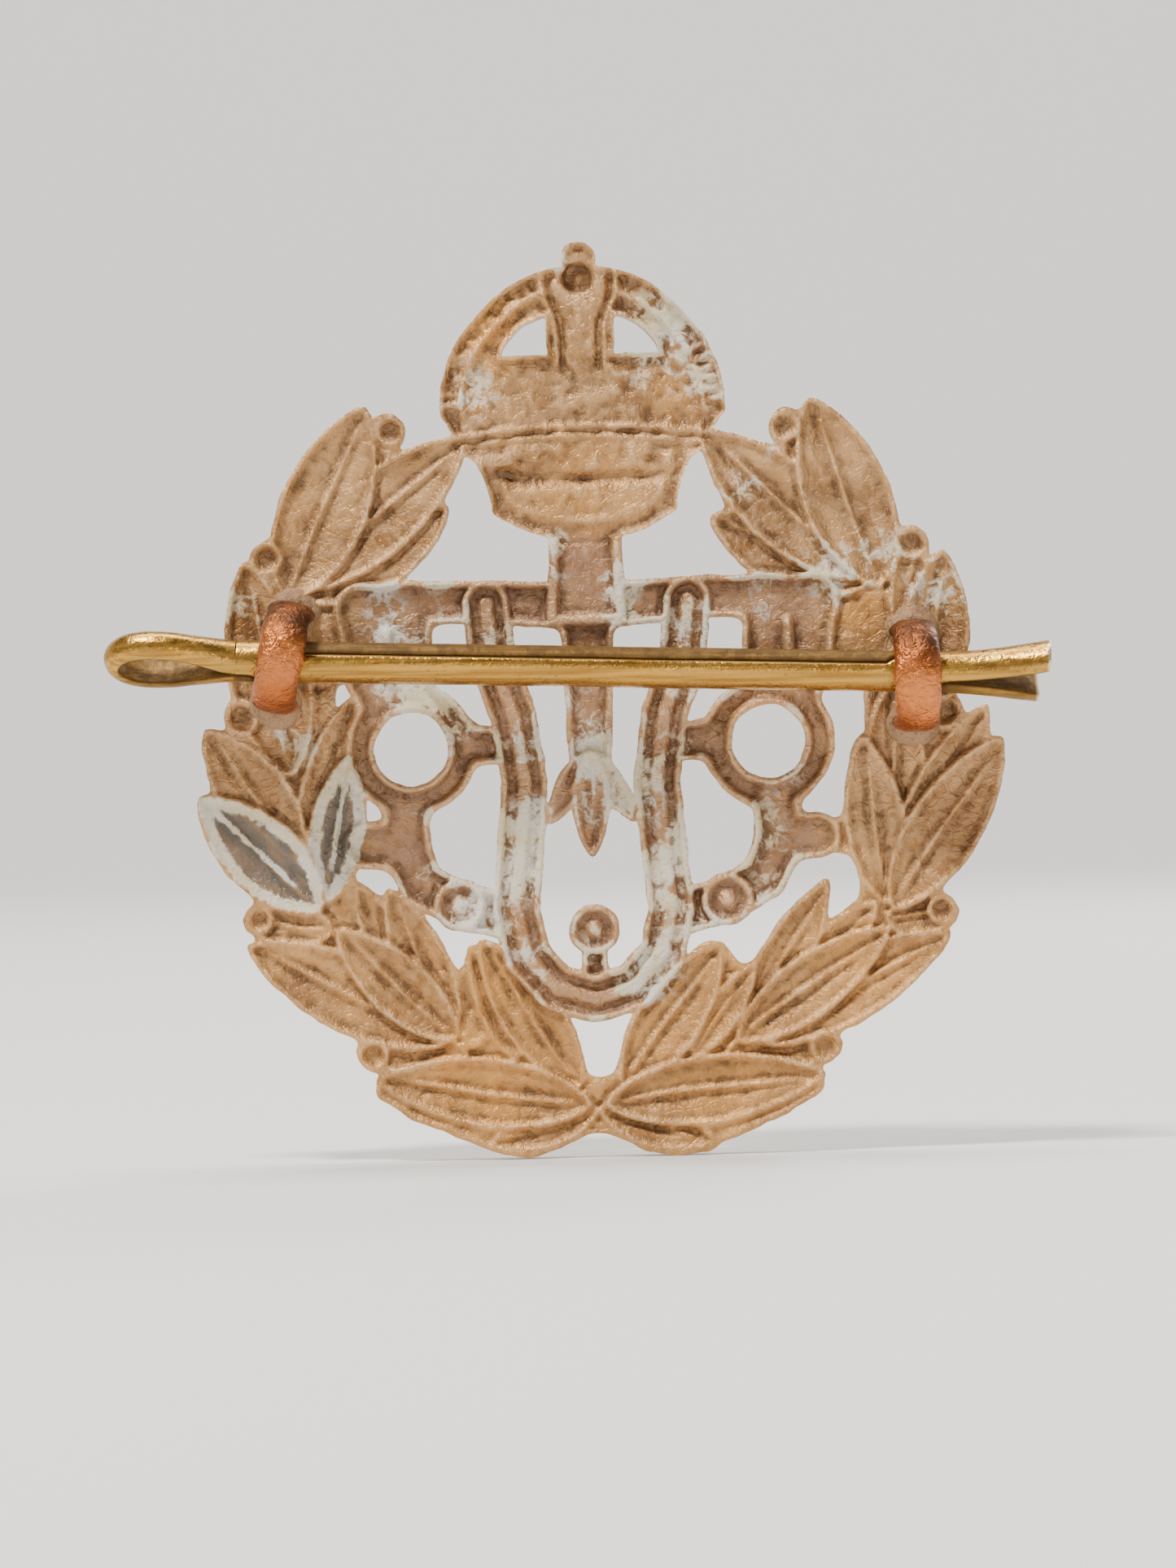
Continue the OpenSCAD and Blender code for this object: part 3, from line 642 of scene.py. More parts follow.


# %% [markdown]
# ## The split pin
#
# One length of half-round brass wire is folded on itself, so its two flats meet and its fold makes the
# eye. The near leg shows bright round brass. The far leg is tarnished and carries painted shade, as does
# the eye's lower side. Between the lugs the pair has rolled over, and past the right lug the ends are
# sprung apart. The two legs and the eye are separate pieces here, because the leg ends bend.

# %% Where the pin lies
PIN_R = 1.05
HALF_GAP = 0.06
SLOPE = math.radians(2.3)
along = np.array([math.cos(SLOPE), 0, -math.sin(SLOPE)])
upward = np.array([math.sin(SLOPE), 0, math.cos(SLOPE)])
toward = np.array([0.0, -1.0, 0.0])
pin_middle = np.array([0, -2.15, -0.2])


def pin_point(x, q, pole):
    """A point x along the pin's line and q out from it, in the direction of the pole."""
    return pin_middle + np.multiply.outer(x, along) + q[:, None] * pole


ROLL_PLACES = [-18.2, -17.2, -14.7, 15.2, 17.8, 18.4]
ROLL_DEGREES = [40, 36, -63, -63, 46, 53]


def pole_at(x):
    """The near leg's bulge: cos(roll) towards the viewer and sin(roll) upward, rolled in each lug."""
    angle = np.radians(np.interp(x, ROLL_PLACES, ROLL_DEGREES))
    return np.cos(angle)[:, None] * toward + np.sin(angle)[:, None] * upward


EYE_END = -17.95
LEG_END = 18.3
TIP_START = 18.8
OPEN = math.tan(math.radians(3.5))


# %% Two legs
def leg(name, side, length):
    """The D carried along the pin's line, its pole rolling, and sprung off the line past the lug."""
    tip = TIP_START + length
    x = np.concatenate([np.linspace(EYE_END, -14.6, 40), np.linspace(-14.4, 15.1, 90),
                        np.linspace(15.2, LEG_END, 36), np.linspace(18.4, tip, 30)])
    pole = pole_at(x) * side
    free = np.maximum(x - LEG_END, 0)
    spring = free * OPEN + free ** 2 * (0.020 if side > 0 else 0.008)
    path = pin_point(x, spring, pole)
    wander = 0.022 * (lumps(x, x * 0 + side, 2.2, 41) - 0.5) * ease(x, -16, -14) * ease(-x, -17, -15)
    path += wander[:, None] * upward
    direction = np.gradient(path, axis=0)
    direction /= np.linalg.norm(direction, axis=1)[:, None]
    section = np.tile(half_round(PIN_R, HALF_GAP), (len(x), 1, 1))
    section[:, :, 0] *= (1 + 0.14 * ease(x, 20.0, tip))[:, None]
    section[:, :, 1] *= (1 - 0.05 * ease(x, 21.5, tip))[:, None]
    thing, points = sweep(name, path, np.cross(pole, direction), pole, section, 0.06)
    local = points - pin_middle
    place = local @ along
    reach = np.einsum("ij,ij->i", local, pole_at(place) * side)
    flat = reach - np.interp(place, x, spring) < HALF_GAP + 0.05
    paint(thing, "flat", flat)
    paint(thing, "cut", ease(place, tip - 0.12, tip + 0.02))
    # Painted shade over tarnish: the far leg is darkened along its length, less towards its sprung tip.
    paint(thing, "tarnish_and_shade", np.full(len(points), 0.0 if side > 0 else 0.85)
          * (1 - 0.45 * ease(place, 18, 20)))
    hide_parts("pin_near_leg" if side > 0 else "pin_far_leg",
                "pin_near_tip" if side > 0 else "pin_far_tip")
    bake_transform(thing)
    return thing


near_leg = leg("split_pin_near_leg", 1, 4.7)
far_leg = leg("split_pin_far_leg", -1, 4.2)

# %% The eye
SOFTENINGS = 24
eye_up = pole_at(np.array([-18.2]))[0]
knots_x = np.array([-17.95, -18.3, -19.0, -20.0, -21.2, -22.4, -23.3, -23.83, -24.0])
knots_q = np.array([0.0, 0.01, 0.20, 0.56, 0.84, 0.90, 0.74, 0.38, 0.0])
arc_length = np.concatenate([[0], np.cumsum(np.hypot(np.diff(knots_x), np.diff(knots_q)))])
fine = np.linspace(0, arc_length[-1], 70)
half_x, half_q = np.interp(fine, arc_length, knots_x), np.interp(fine, arc_length, knots_q)
loop_x = np.concatenate([half_x, half_x[-2::-1]])
loop_q = np.concatenate([half_q, -half_q[-2::-1]])
for _ in range(SOFTENINGS):
    loop_x[1:-1] = (loop_x[:-2] + 2 * loop_x[1:-1] + loop_x[2:]) / 4
    loop_q[1:-1] = (loop_q[:-2] + 2 * loop_q[1:-1] + loop_q[2:]) / 4
loop = pin_middle + loop_x[:, None] * along + loop_q[:, None] * eye_up
run = np.gradient(loop, axis=0)
run[0], run[-1] = -along, along
run /= np.linalg.norm(run, axis=1)[:, None]
eye_side = np.cross(along, eye_up)
outward = np.cross(run, eye_side)
outward *= np.sign(outward[0] @ eye_up)
eye_section = np.tile(half_round(PIN_R, HALF_GAP), (len(loop), 1, 1))
eye_section *= (1 - 0.17 * ease(-loop_x, 18.4, 20.6))[:, None, None]
pin_eye, eye_points = sweep("split_pin_eye", loop, np.broadcast_to(eye_side, loop.shape), outward,
                            eye_section, 0.03)
local = eye_points - pin_middle
nearest = np.argmin(np.linalg.norm(eye_points[:, None] - loop[None, ::3], axis=2), axis=1) * 3
reach = np.einsum("ij,ij->i", eye_points - loop[nearest], outward[nearest])
paint(pin_eye, "flat", reach < HALF_GAP + 0.07)
paint(pin_eye, "cut", np.zeros(len(eye_points)))
# Painted shade over tarnish: the eye is darker on its lower, far side.
paint(pin_eye, "tarnish_and_shade", ease(-(local @ eye_up), 0.1, 0.9) * 0.6)
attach(pin_eye, "split_pin")
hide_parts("pin_eye")
print("eye is", round(float(np.ptp(eye_points[:, 0])), 1), "mm long")

# %% [markdown]
# ## The lugs and their solder
#
# A short piece of copper wire, hammered nearly flat, is bent to a U and its two feet are soldered to the
# back. The loops are dented where the pin has pulled on them. The solder stands as a low collar round
# each foot, uneven, and thickest towards the outside.

# %% Two copper loops
LUG_LENGTH, LUG_HEIGHT, LUG_THICK, LUG_WIDTH, LUG_ROOT = 5.8, 5.0, 1.1, 2.3, 0.45
BEND_POINTS, FOOT_POINTS = 60, 13
# Each lug's middle on the plate, x and z, and its turn in degrees.
LUG_PLACES = {"left": (-15.6, 0.65, 12), "right": (16.7, -1.05, 0)}
# How dark the painted shade on each loop's upper end is.
UPPER_END_SHADE_STRENGTH = {"left": 0.96, "right": 0.9}
bow_r = (LUG_LENGTH - LUG_THICK) / 2
bow_y = LUG_HEIGHT - LUG_LENGTH / 2


def lug_frame(hand):
    """The lug's middle, the direction from foot to foot and the direction of the wire's width."""
    x, z, turn = LUG_PLACES[hand]
    c, s = math.cos(math.radians(turn)), math.sin(math.radians(turn))
    return np.array([x, 0, z]), np.array([s, 0, c]), np.array([c, 0, -s])


lug_wires = {}
for number, hand in enumerate(LUG_PLACES):
    lug_middle, axis, side = lug_frame(hand)
    bend = np.linspace(0, np.pi, BEND_POINTS)
    foot = np.linspace(-LUG_ROOT, bow_y, FOOT_POINTS + 1)[:-1]
    straight = np.ones(FOOT_POINTS)
    u = np.concatenate([bow_r * straight, bow_r * np.cos(bend), -bow_r * straight])
    h = np.concatenate([foot, bow_y + bow_r * np.sin(bend), foot[::-1]])
    path = lug_middle + u[:, None] * axis + h[:, None] * toward
    leaning = np.concatenate([0 * straight, bend, np.pi * straight])
    out = np.cos(leaning)[:, None] * axis + np.sin(leaning)[:, None] * toward
    section = np.tile(racetrack(LUG_WIDTH, LUG_THICK), (len(u), 1, 1))
    station = np.linspace(0, 12, len(u))
    grow = 1 + 0.10 * (lumps(station, station * 0 + number, 1.7, 51) - 0.5)
    section[:, :, 0] *= grow[:, None]
    ripple = lumps(station[:, None] + 0 * section[0, :, 0], section[:, :, 0] + 9 * number, 0.75, 52) - 0.5
    section *= 1 + 0.13 * ripple[:, :, None]
    lug_wires[hand], points = sweep("lug_loop_" + hand, path, np.broadcast_to(side, path.shape), out,
                                    section, 0.05)
    height, sideways = (points - lug_middle) @ axis, (points - lug_middle) @ side
    # Painted shade: each loop is darkened towards its upper end.
    paint(lug_wires[hand], "upper_end_shade", ease(height + 0.3 * sideways, 0.3, 1.9) * UPPER_END_SHADE_STRENGTH[hand])
    # Painted highlight with polish: paler copper low on each loop's crest.
    paint(lug_wires[hand], "polish_and_highlight", bell(height + 0.7, 1.2) * ease(-points[:, 1], 3.0, 4.6))
    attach(lug_wires[hand], "badge")
    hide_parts("lug_" + hand)

# %% Solder collars
COLLAR_POINTS = 64
COLLAR_PROFILE = np.array([(0.35, -0.30), (0.66, -0.30), (0.90, -0.24), (1.04, -0.12), (1.15, 0.0),
                           (1.26, 0.10), (1.36, 0.19), (1.42, 0.30), (1.3, 0.38), (0.4, 0.38)])


def collar_round(centre, axis, side, end, number):
    """The profile turned round the foot, its radius swelled by noise, with a fan over each open end."""
    per = len(COLLAR_PROFILE)
    theta, ring = np.meshgrid(np.linspace(0, 2 * np.pi, COLLAR_POINTS, endpoint=False),
                              np.arange(per), indexing="ij")
    swell = 1 + 0.13 * (lumps(theta * 2.2, ring * 0.0 + end + 5 * number, 1.6, 61) - 0.5)
    swell += 0.05 * (lumps(theta * 3, ring * 0.8 + 3 * end, 0.5, 62) - 0.5)
    r, y = COLLAR_PROFILE[ring, 0] * swell, COLLAR_PROFILE[ring, 1]
    cloud = centre + (r * np.cos(theta))[..., None] * side + (r * 0.86 * np.sin(theta))[..., None] * axis
    cloud = cloud - y[..., None] * toward
    poles = centre - COLLAR_PROFILE[[0, -1], 1][:, None] * toward
    i, j = np.meshgrid(np.arange(COLLAR_POINTS), np.arange(per - 1), indexing="ij")
    n = (i + 1) % COLLAR_POINTS
    faces = np.stack([i * per + j, i * per + j + 1, n * per + j + 1, n * per + j], -1).reshape(-1, 4)
    a, b = i[:, 0] * per, n[:, 0] * per
    top, bottom = np.full((2, COLLAR_POINTS), COLLAR_POINTS * per) + [[0], [1]]
    lids = [np.stack([top, a, b, top], 1), np.stack([bottom, b + per - 1, a + per - 1, bottom], 1)]
    return np.concatenate([cloud.reshape(-1, 3), poles]), np.concatenate([faces] + lids)


for number, hand in enumerate(LUG_PLACES):
    lug_middle, axis, side = lug_frame(hand)
    (low_points, low_faces), (high_points, high_faces) = (
        collar_round(lug_middle + axis * end * (bow_r + 0.12), axis, side, end, number)
        for end in (-1, 1))
    collar = make_mesh("solder_collars_" + hand, np.concatenate([low_points, high_points]),
                       np.concatenate([low_faces, high_faces + len(low_points)]))
    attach(collar, "badge")
    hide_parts("solder_" + hand)

# %% [markdown]
# ## Shared effects
#
# Every metal here carries the same history: blotches of oxide, specks of dirt, fine scratches and a
# surface that isn't quite flat. One node group makes these as plain values, and each material decides
# what they mean. Noise is read in object coordinates, so it stays in scale on every piece. Coordinates
# are metres, so a noise scale of 1500 gives grains of about 0.7 mm.


# %% Helpers for node trees
def put(tree, kind, links=None, values=None, **settings):
    """Adds a node, sets its settings and values, and joins the given sockets to its inputs."""
    made = tree.nodes.new(kind)
    for key, value in settings.items():
        setattr(made, key, value)
    for key, value in (values or {}).items():
        made.inputs[key].default_value = value
    for key, source in (links or {}).items():
        tree.links.new(source, made.inputs[key])
    return made


def blend_colour(tree, factor, first, second):
    """A colour between two colours or sockets, by a factor socket or number."""
    made = put(tree, "ShaderNodeMix", data_type="RGBA")
    for place, value in ((0, factor), (6, first), (7, second)):
        if isinstance(value, bpy.types.NodeSocket):
            tree.links.new(value, made.inputs[place])
        else:
            made.inputs[place].default_value = value if place == 0 else (*value, 1)
    return made.outputs[2]


def maths(tree, operation, first, second, clamp=False):
    """One maths node over two sockets or numbers."""
    made = put(tree, "ShaderNodeMath", operation=operation, use_clamp=clamp)
    for place, value in ((0, first), (1, second)):
        if isinstance(value, bpy.types.NodeSocket):
            tree.links.new(value, made.inputs[place])
        else:
            made.inputs[place].default_value = value
    return made.outputs[0]


def coat(tree, colour, cover, strength, tint):
    """The colour with a tint laid over it: cover * strength of the tint, and the rest as it was."""
    return blend_colour(tree, maths(tree, "MULTIPLY", cover, strength), colour, tint)


def broken(tree, cover, breaker, start, end):
    """A mask times a window of noise, so that its border isn't clean."""
    return maths(tree, "MULTIPLY", cover, window(tree, breaker, 0, 1, start, end), True)


def window(tree, value, low, high, start=0.0, end=1.0):
    """Maps low..high smoothly onto start..end."""
    return put(tree, "ShaderNodeMapRange", {"Value": value}, {"From Min": low, "From Max": high,
               "To Min": start, "To Max": end}, interpolation_type="SMOOTHSTEP").outputs["Result"]


# %% The ageing group
ageing = bpy.data.node_groups.new("metal_ageing", "ShaderNodeTree")
ageing.interface.new_socket("Vector", in_out="INPUT", socket_type="NodeSocketVector")
for label in ("Blotch", "Mottle", "Speck", "Scratch", "Height"):
    ageing.interface.new_socket(label, in_out="OUTPUT", socket_type="NodeSocketFloat")
group_in = ageing.nodes.new("NodeGroupInput")
group_out = ageing.nodes.new("NodeGroupOutput")
where = group_in.outputs["Vector"]


def group_noise(vector, scale, detail, rough=0.5, distortion=0.0):
    """Fractal noise inside the group."""
    return put(ageing, "ShaderNodeTexNoise", {"Vector": vector},
               {"Scale": scale, "Detail": detail, "Roughness": rough, "Distortion": distortion},
               ).outputs["Fac"]


blotch = group_noise(where, 260.0, 6.0, 0.62)
mottle = group_noise(where, 1500.0, 4.0, 0.65, 0.6)
grain = group_noise(where, 5200.0, 3.0, 0.6)
speck = put(ageing, "ShaderNodeTexVoronoi", {"Vector": where}, {"Scale": 1900.0}).outputs["Distance"]
crack = put(ageing, "ShaderNodeTexVoronoi", {"Vector": where}, {"Scale": 1300.0},
            feature="DISTANCE_TO_EDGE").outputs["Distance"]
stretched = put(ageing, "ShaderNodeMapping", {"Vector": where}, {"Rotation": (0.2, 0.5, 0.3),
                "Scale": (260.0, 2600.0, 6400.0)}).outputs["Vector"]
scratch = group_noise(stretched, 1.0, 2.0)
ageing.links.new(window(ageing, blotch, 0.36, 0.64), group_out.inputs["Blotch"])
ageing.links.new(window(ageing, mottle, 0.36, 0.64), group_out.inputs["Mottle"])
ageing.links.new(window(ageing, speck, 0.24, 0.10), group_out.inputs["Speck"])
ageing.links.new(window(ageing, scratch, 0.60, 0.72), group_out.inputs["Scratch"])
rough_height = maths(ageing, "ADD", maths(ageing, "MULTIPLY", mottle, 1.1),
                     maths(ageing, "MULTIPLY", grain, 0.5))
dips = maths(ageing, "MULTIPLY", window(ageing, crack, 0.09, 0.0), -0.12)
ageing.links.new(maths(ageing, "ADD", rough_height, dips), group_out.inputs["Height"])
print("ageing group outputs:", [s.name for s in ageing.interface.items_tree if s.in_out == "OUTPUT"])


BUMP_HEIGHT = 0.00020


def metal(name, bump, rough, metallic):
    """A material with the ageing group, a bump and a shader: returns it with its useful sockets."""
    material = bpy.data.materials.new(name)
    material.use_nodes = True
    tree = material.node_tree
    shader = tree.nodes["Principled BSDF"]
    shader.inputs["Metallic"].default_value = metallic
    shader.inputs["Roughness"].default_value = rough
    spot = put(tree, "ShaderNodeTexCoord").outputs["Object"]
    aged = put(tree, "ShaderNodeGroup", node_tree=ageing)
    tree.links.new(spot, aged.inputs["Vector"])
    lift = put(tree, "ShaderNodeBump", {"Height": aged.outputs["Height"]},
               {"Strength": bump, "Distance": BUMP_HEIGHT})
    tree.links.new(lift.outputs["Normal"], shader.inputs["Normal"])
    return material, tree, shader, aged.outputs


def mask(tree, name):
    """The number painted on each point under this name."""
    return put(tree, "ShaderNodeAttribute", attribute_name=name).outputs["Fac"]


# %% [markdown]
# ## Struck brass, eighty years old
#
# Gilding brass goes from gold to a pinkish tan, and is paler where cloth and fingers rub its ridges. Its
# hollows and creases carry painted shade with grime. Old polish and solder flux dry to a cream crust
# that sits in patches, and plum oxide has spread over the pierced middle. Each of these is one mask
# mixed over the last, broken up by the ageing values, so no border is clean.

# %% Plate material
brass_back, tree, shader, aged = metal("struck_brass_back", 0.75, 0.45, 0.55)
colour = blend_colour(tree, aged["Blotch"], (0.32, 0.145, 0.044), (0.59, 0.32, 0.125))
colour = coat(tree, colour, aged["Mottle"], 0.35, (0.66, 0.43, 0.23))
warm_mask = broken(tree, mask(tree, "warm"), aged["Blotch"], 0.5, 1.0)
colour = coat(tree, colour, warm_mask, 0.75, (0.72, 0.33, 0.07))
plum_mask = broken(tree, mask(tree, "plum"), aged["Mottle"], 0.55, 1)
colour = coat(tree, colour, plum_mask, 0.7, (0.30, 0.165, 0.12))
# Painted shade with grime: the back's hollows and creases are darkened in colour.
hollow_shade_and_grime = broken(tree, mask(tree, "grime_and_shade"), aged["Mottle"], 1.0, 0.45)
colour = coat(tree, colour, hollow_shade_and_grime, 0.8, (0.085, 0.045, 0.025))
worn = broken(tree, mask(tree, "rub"), aged["Mottle"], 0.35, 1.0)
colour = coat(tree, colour, worn, 0.7, (0.86, 0.56, 0.29))
colour = coat(tree, colour, mask(tree, "ash"), 0.85, (0.11, 0.105, 0.095))
crust_break = window(tree, maths(tree, "ADD", mask(tree, "cream"),
                     maths(tree, "MULTIPLY", aged["Mottle"], 0.45)), 0.55, 0.95)
crust_tone = blend_colour(tree, aged["Blotch"], (0.70, 0.59, 0.35), (0.76, 0.71, 0.62))
colour = coat(tree, colour, crust_break, 0.9, crust_tone)
front_tone = blend_colour(tree, mask(tree, "rub"), (0.50, 0.33, 0.14), (0.88, 0.68, 0.36))
# Painted shade with grime: the front's recesses are darkened in colour.
front_tone = coat(tree, front_tone, mask(tree, "grime_and_shade"), 0.85, (0.12, 0.075, 0.04))
front_tone = coat(tree, front_tone, aged["Blotch"], 0.3, (0.40, 0.27, 0.15))
is_front = mask(tree, "front")
colour = blend_colour(tree, is_front, colour, front_tone)
colour = coat(tree, colour, aged["Speck"], 0.35, (0.20, 0.13, 0.09))
tree.links.new(colour, shader.inputs["Base Color"])
dull = maths(tree, "ADD", maths(tree, "MULTIPLY", aged["Mottle"], 0.22),
             maths(tree, "MULTIPLY", crust_break, 0.3))
back_rough = maths(tree, "ADD", dull, 0.36)
front_rough = maths(tree, "ADD", maths(tree, "MULTIPLY", dull, 0.5), 0.24)
tree.links.new(put(tree, "ShaderNodeMix", {0: is_front, 2: back_rough, 3: front_rough},
                   data_type="FLOAT").outputs[0], shader.inputs["Roughness"])
shine = maths(tree, "SUBTRACT", 0.62, maths(tree, "MULTIPLY", crust_break, 0.6), True)
shine = maths(tree, "ADD", shine, maths(tree, "MULTIPLY", is_front, 0.3), True)
tree.links.new(shine, shader.inputs["Metallic"])
for region in plate.values():
    region.data.materials.append(brass_back)

# %% [markdown]
# ## Pin brass, copper and solder
#
# The pin is a yellower brass, drawn smooth, with fine lines along it, brown where it can't be wiped and
# bare where it was cut; its far leg and the lower side of its eye carry painted shade. The copper loops
# have painted shade on their upper ends and a painted highlight with polish low on their crest. The
# solder is dull grey with a warm stain from the flux.

# %% Pin, loop and solder materials
pin_brass, tree, shader, aged = metal("pin_brass", 0.22, 0.28, 0.95)
shader.inputs["Specular IOR Level"].default_value = 0.12
lines = put(tree, "ShaderNodeMapping", {"Vector": put(tree, "ShaderNodeTexCoord").outputs["Object"]},
            {"Rotation": (0, SLOPE, 0), "Scale": (120.0, 5200.0, 5200.0)}).outputs["Vector"]
drawn = put(tree, "ShaderNodeTexNoise", {"Vector": lines}, {"Scale": 1.0, "Detail": 3.0}).outputs["Fac"]
colour = blend_colour(tree, window(tree, drawn, 0.35, 0.65), (0.32, 0.15, 0.025), (0.57, 0.31, 0.057))
colour = coat(tree, colour, aged["Blotch"], 0.35, (0.42, 0.25, 0.07))
# Dark brown where the flats can't be wiped, and painted shade on the far leg and the eye's lower side.
tarnish_and_shade_cover = maths(tree, "MAXIMUM", mask(tree, "tarnish_and_shade"), maths(tree, "MULTIPLY", mask(tree, "flat"), 0.8))
tarnish_and_shade_cover = broken(tree, tarnish_and_shade_cover, aged["Mottle"], 0.8, 1.0)
colour = blend_colour(tree, tarnish_and_shade_cover, colour, (0.055, 0.028, 0.012))
colour = coat(tree, colour, aged["Speck"], 0.3, (0.10, 0.06, 0.03))
colour = blend_colour(tree, mask(tree, "cut"), colour, (0.86, 0.66, 0.42))
tree.links.new(colour, shader.inputs["Base Color"])
tree.links.new(maths(tree, "SUBTRACT", 0.95, tarnish_and_shade_cover, True), shader.inputs["Metallic"])
tree.links.new(maths(tree, "ADD", maths(tree, "MULTIPLY", tarnish_and_shade_cover, 0.30),
                     maths(tree, "ADD", maths(tree, "MULTIPLY", aged["Mottle"], 0.1), 0.22)),
               shader.inputs["Roughness"])
for piece in (near_leg, far_leg, pin_eye):
    piece.data.materials.append(pin_brass)

copper, tree, shader, aged = metal("loop_copper", 0.7, 0.3, 0.95)
shader.inputs["Specular IOR Level"].default_value = 0.3
colour = blend_colour(tree, aged["Blotch"], (0.34, 0.08, 0.016), (0.62, 0.18, 0.04))
colour = coat(tree, colour, aged["Mottle"], 0.4, (0.30, 0.09, 0.035))
# Painted shade: the loops' upper ends are darkened in colour.
upper_end_shade = broken(tree, mask(tree, "upper_end_shade"), aged["Mottle"], 0.75, 1.0)
colour = blend_colour(tree, upper_end_shade, colour, (0.05, 0.022, 0.012))
# Painted highlight with polish, low on the crest.
colour = coat(tree, colour, mask(tree, "polish_and_highlight"), 0.12, (0.90, 0.42, 0.18))
colour = coat(tree, colour, aged["Scratch"], 0.12, (0.85, 0.40, 0.18))
tree.links.new(colour, shader.inputs["Base Color"])
tree.links.new(maths(tree, "ADD", maths(tree, "MULTIPLY", aged["Mottle"], 0.16),
                     maths(tree, "ADD", maths(tree, "MULTIPLY", upper_end_shade, 0.2), 0.15)),
               shader.inputs["Roughness"])
for wire in lug_wires.values():
    wire.data.materials.append(copper)

solder_metal, tree, shader, aged = metal("old_solder", 1.0, 0.6, 0.35)
colour = blend_colour(tree, aged["Blotch"], (0.28, 0.15, 0.075), (0.40, 0.24, 0.13))
colour = coat(tree, colour, aged["Mottle"], 0.6, (0.46, 0.28, 0.14))
colour = coat(tree, colour, aged["Speck"], 0.6, (0.14, 0.10, 0.08))
tree.links.new(colour, shader.inputs["Base Color"])
for thing in bpy.context.scene.objects:
    if thing.name.startswith("solder_collars"):
        thing.data.materials.append(solder_metal)
print("materials:", [m.name for m in bpy.data.materials])

# %% [markdown]
# ## Floor, light and camera
#
# The badge stands in a plain pale bowl: a flat floor that curves up into a wall all round, so every view
# ends in the same pale tone. The bowl's left and right sides glow faintly, where the lights don't reach.
# A wide soft light above and a second one low in front give rims a bright edge and hollows a soft shade.
# The camera looks square at the back of the badge.

# %% Pale bowl
MIDDLE_REACH = 300
FLAT_REACH = 900
WALL_BEND = 700
WALL_TOP = 1500
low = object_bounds()[0]
bend = np.linspace(0, np.pi / 2, 24)
reach = np.concatenate([[MIDDLE_REACH], FLAT_REACH + WALL_BEND * np.sin(bend), [FLAT_REACH + WALL_BEND]])
rise = np.concatenate([[0], WALL_BEND * (1 - np.cos(bend)), [WALL_TOP]])
spoke = np.arange(96)
turn = 2 * np.pi * spoke / len(spoke)
rings = np.stack([np.outer(reach, np.cos(turn)), np.outer(reach, np.sin(turn)),
                  np.outer(rise, np.ones(len(spoke)))], -1).reshape(-1, 3)
bowl_points = np.vstack([np.zeros((1, 3)), rings]) + (0, 0, low.z / MM)
beside = (spoke + 1) % len(spoke)
hub = np.stack([0 * spoke, 1 + spoke, 1 + beside, 0 * spoke], axis=1)
row = 1 + len(spoke) * np.arange(len(reach) - 1)[:, None]
bands = np.stack([row + spoke, row + len(spoke) + spoke, row + len(spoke) + beside, row + beside], -1)
floor = make_mesh("pale_floor", bowl_points, np.vstack([hub, bands.reshape(-1, 4)]))
side_glow = np.outer(ease(rise, 20, WALL_BEND), np.cos(turn) ** 2).ravel()
paint(floor, "glow", np.concatenate([[0], side_glow]))
floor_paint = bpy.data.materials.new("pale_floor_paint")
floor_paint.use_nodes = True
floor_shader = floor_paint.node_tree.nodes["Principled BSDF"]
floor_shader.inputs["Base Color"].default_value = (0.72, 0.71, 0.69, 1)
glow = blend_colour(floor_paint.node_tree, mask(floor_paint.node_tree, "glow"), (0.72, 0.71, 0.69),
                    (3.4, 3.35, 3.3))
floor_paint.node_tree.links.new(glow, floor_shader.inputs["Emission Color"])
floor_shader.inputs["Emission Strength"].default_value = 0.10
floor_shader.inputs["Roughness"].default_value = 0.8
floor.data.materials.append(floor_paint)
print("bowl:", len(bowl_points), "points, half width", reach[-1], "mm")

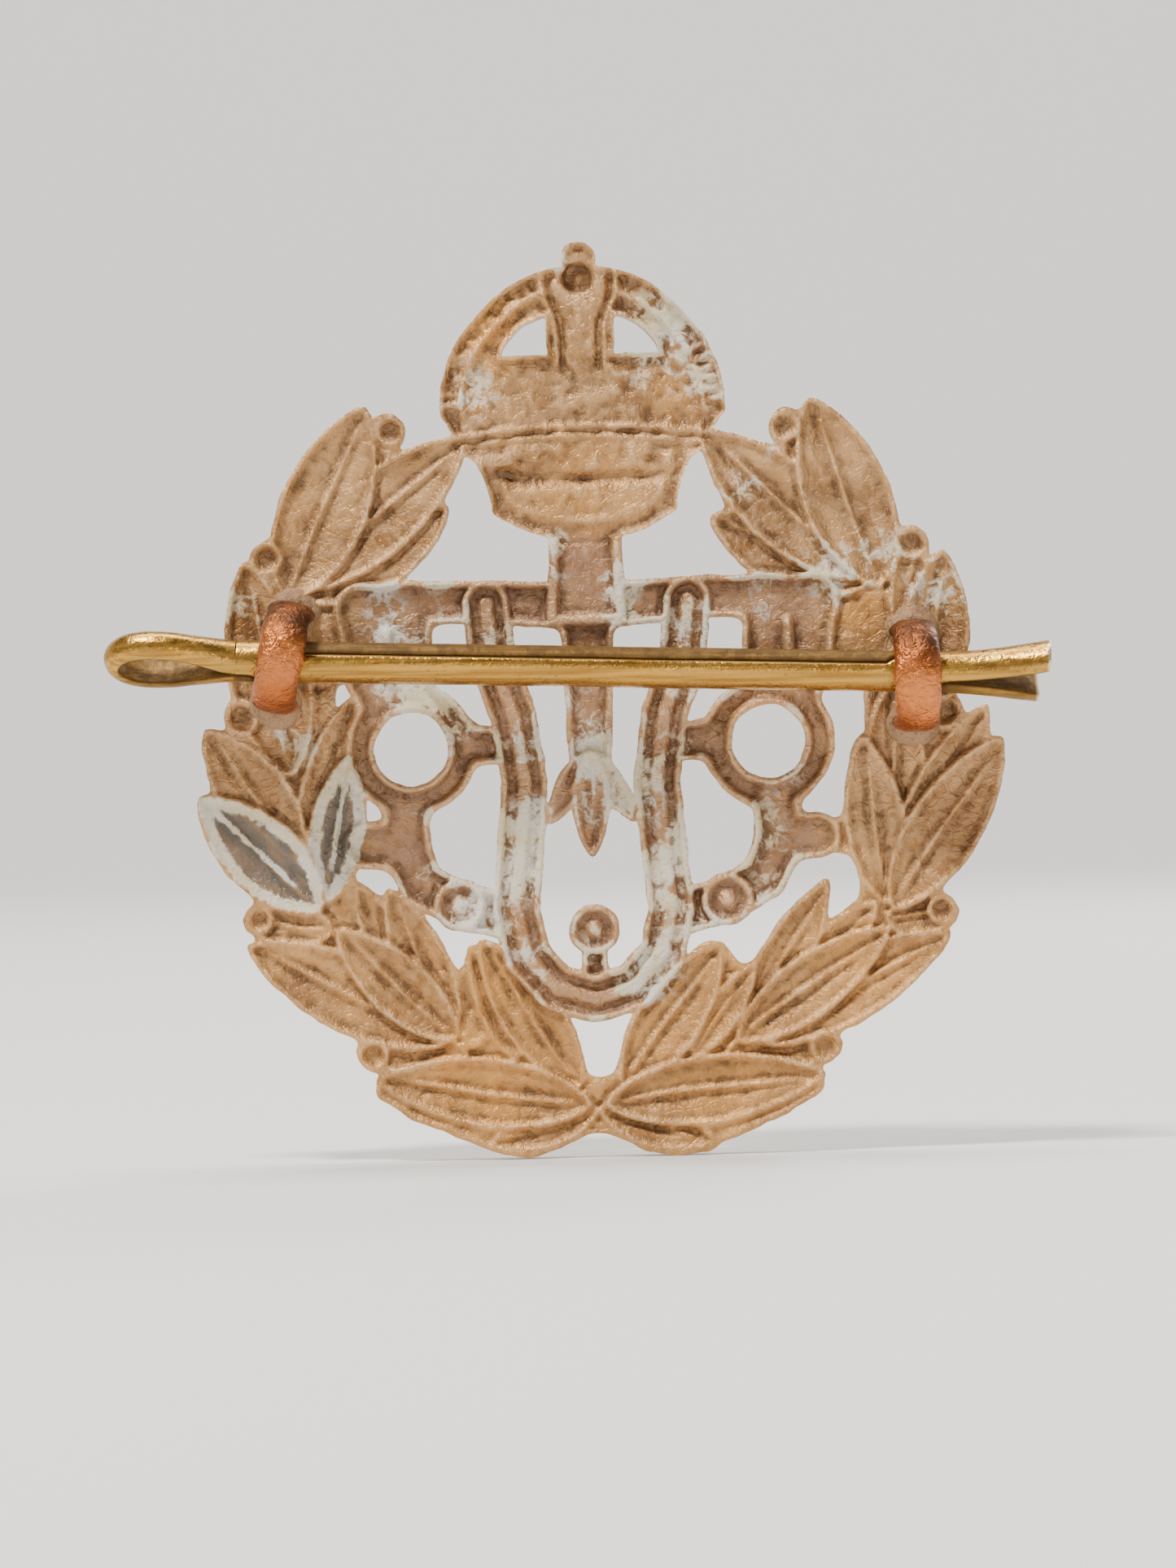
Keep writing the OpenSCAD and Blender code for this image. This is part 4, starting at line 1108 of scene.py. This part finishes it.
# %% Soft lights
world = bpy.data.worlds.new("pale_surround")
world.use_nodes = True
world.node_tree.nodes["Background"].inputs["Color"].default_value = (0.80, 0.79, 0.78, 1)
world.node_tree.nodes["Background"].inputs["Strength"].default_value = 0.08
bpy.context.scene.world = world


def soft_light(name, place, size, watts, tint, target=(0, 0, 0)):
    """A square area light that faces the badge, or another target."""
    lamp = bpy.data.lights.new(name, "AREA")
    lamp.size, lamp.energy, lamp.color = size, watts, tint
    holder = bpy.data.objects.new(name, lamp)
    bpy.context.scene.collection.objects.link(holder)
    aim = (Vector(target) - Vector(place)).to_track_quat("-Z", "Y")
    holder.matrix_world = Matrix.Translation(place) @ aim.to_matrix().to_4x4()
    holder.visible_camera = False
    return holder


soft_light("window_light", (-0.16, -0.20, 0.48), 0.085, 4.4, (1.0, 0.985, 0.96))
soft_light("low_light", (0.10, -0.40, -0.02), 0.06, 0.22, (1.0, 0.97, 0.93))
soft_light("back_light", (0.30, 0.50, 0.34), 0.20, 2.0, (1.0, 0.99, 0.97))
soft_light("wall_light", (0.0, 0.35, 1.30), 0.9, 26, (1.0, 0.99, 0.98), (0.0, 1.6, 0.15))
lights = [thing for thing in bpy.context.scene.objects if thing.type == "LIGHT"]
print("lights:", len(lights))

# %% Camera square to the back
camera = bpy.data.objects.new("camera", bpy.data.cameras.new("camera"))
camera.data.sensor_fit = "VERTICAL"
camera.data.sensor_height = 36.0
DISTANCE = 0.30
VIEW_HEIGHT = 0.0807
CAMERA_ROLL = -1.4
camera.data.lens = 36.0 * DISTANCE / VIEW_HEIGHT
camera.data.clip_start = 0.01
camera.data.clip_end = 20
upright = Matrix(((1, 0, 0), (0, 0, -1), (0, 1, 0))).to_4x4()
roll = Matrix.Rotation(math.radians(CAMERA_ROLL), 4, "Z")
camera.matrix_world = Matrix.Translation((-0.00015, -DISTANCE, -0.0062)) @ upright @ roll
bpy.context.scene.collection.objects.link(camera)
bpy.context.scene.camera = camera
print("lens:", round(camera.data.lens, 1), "mm")
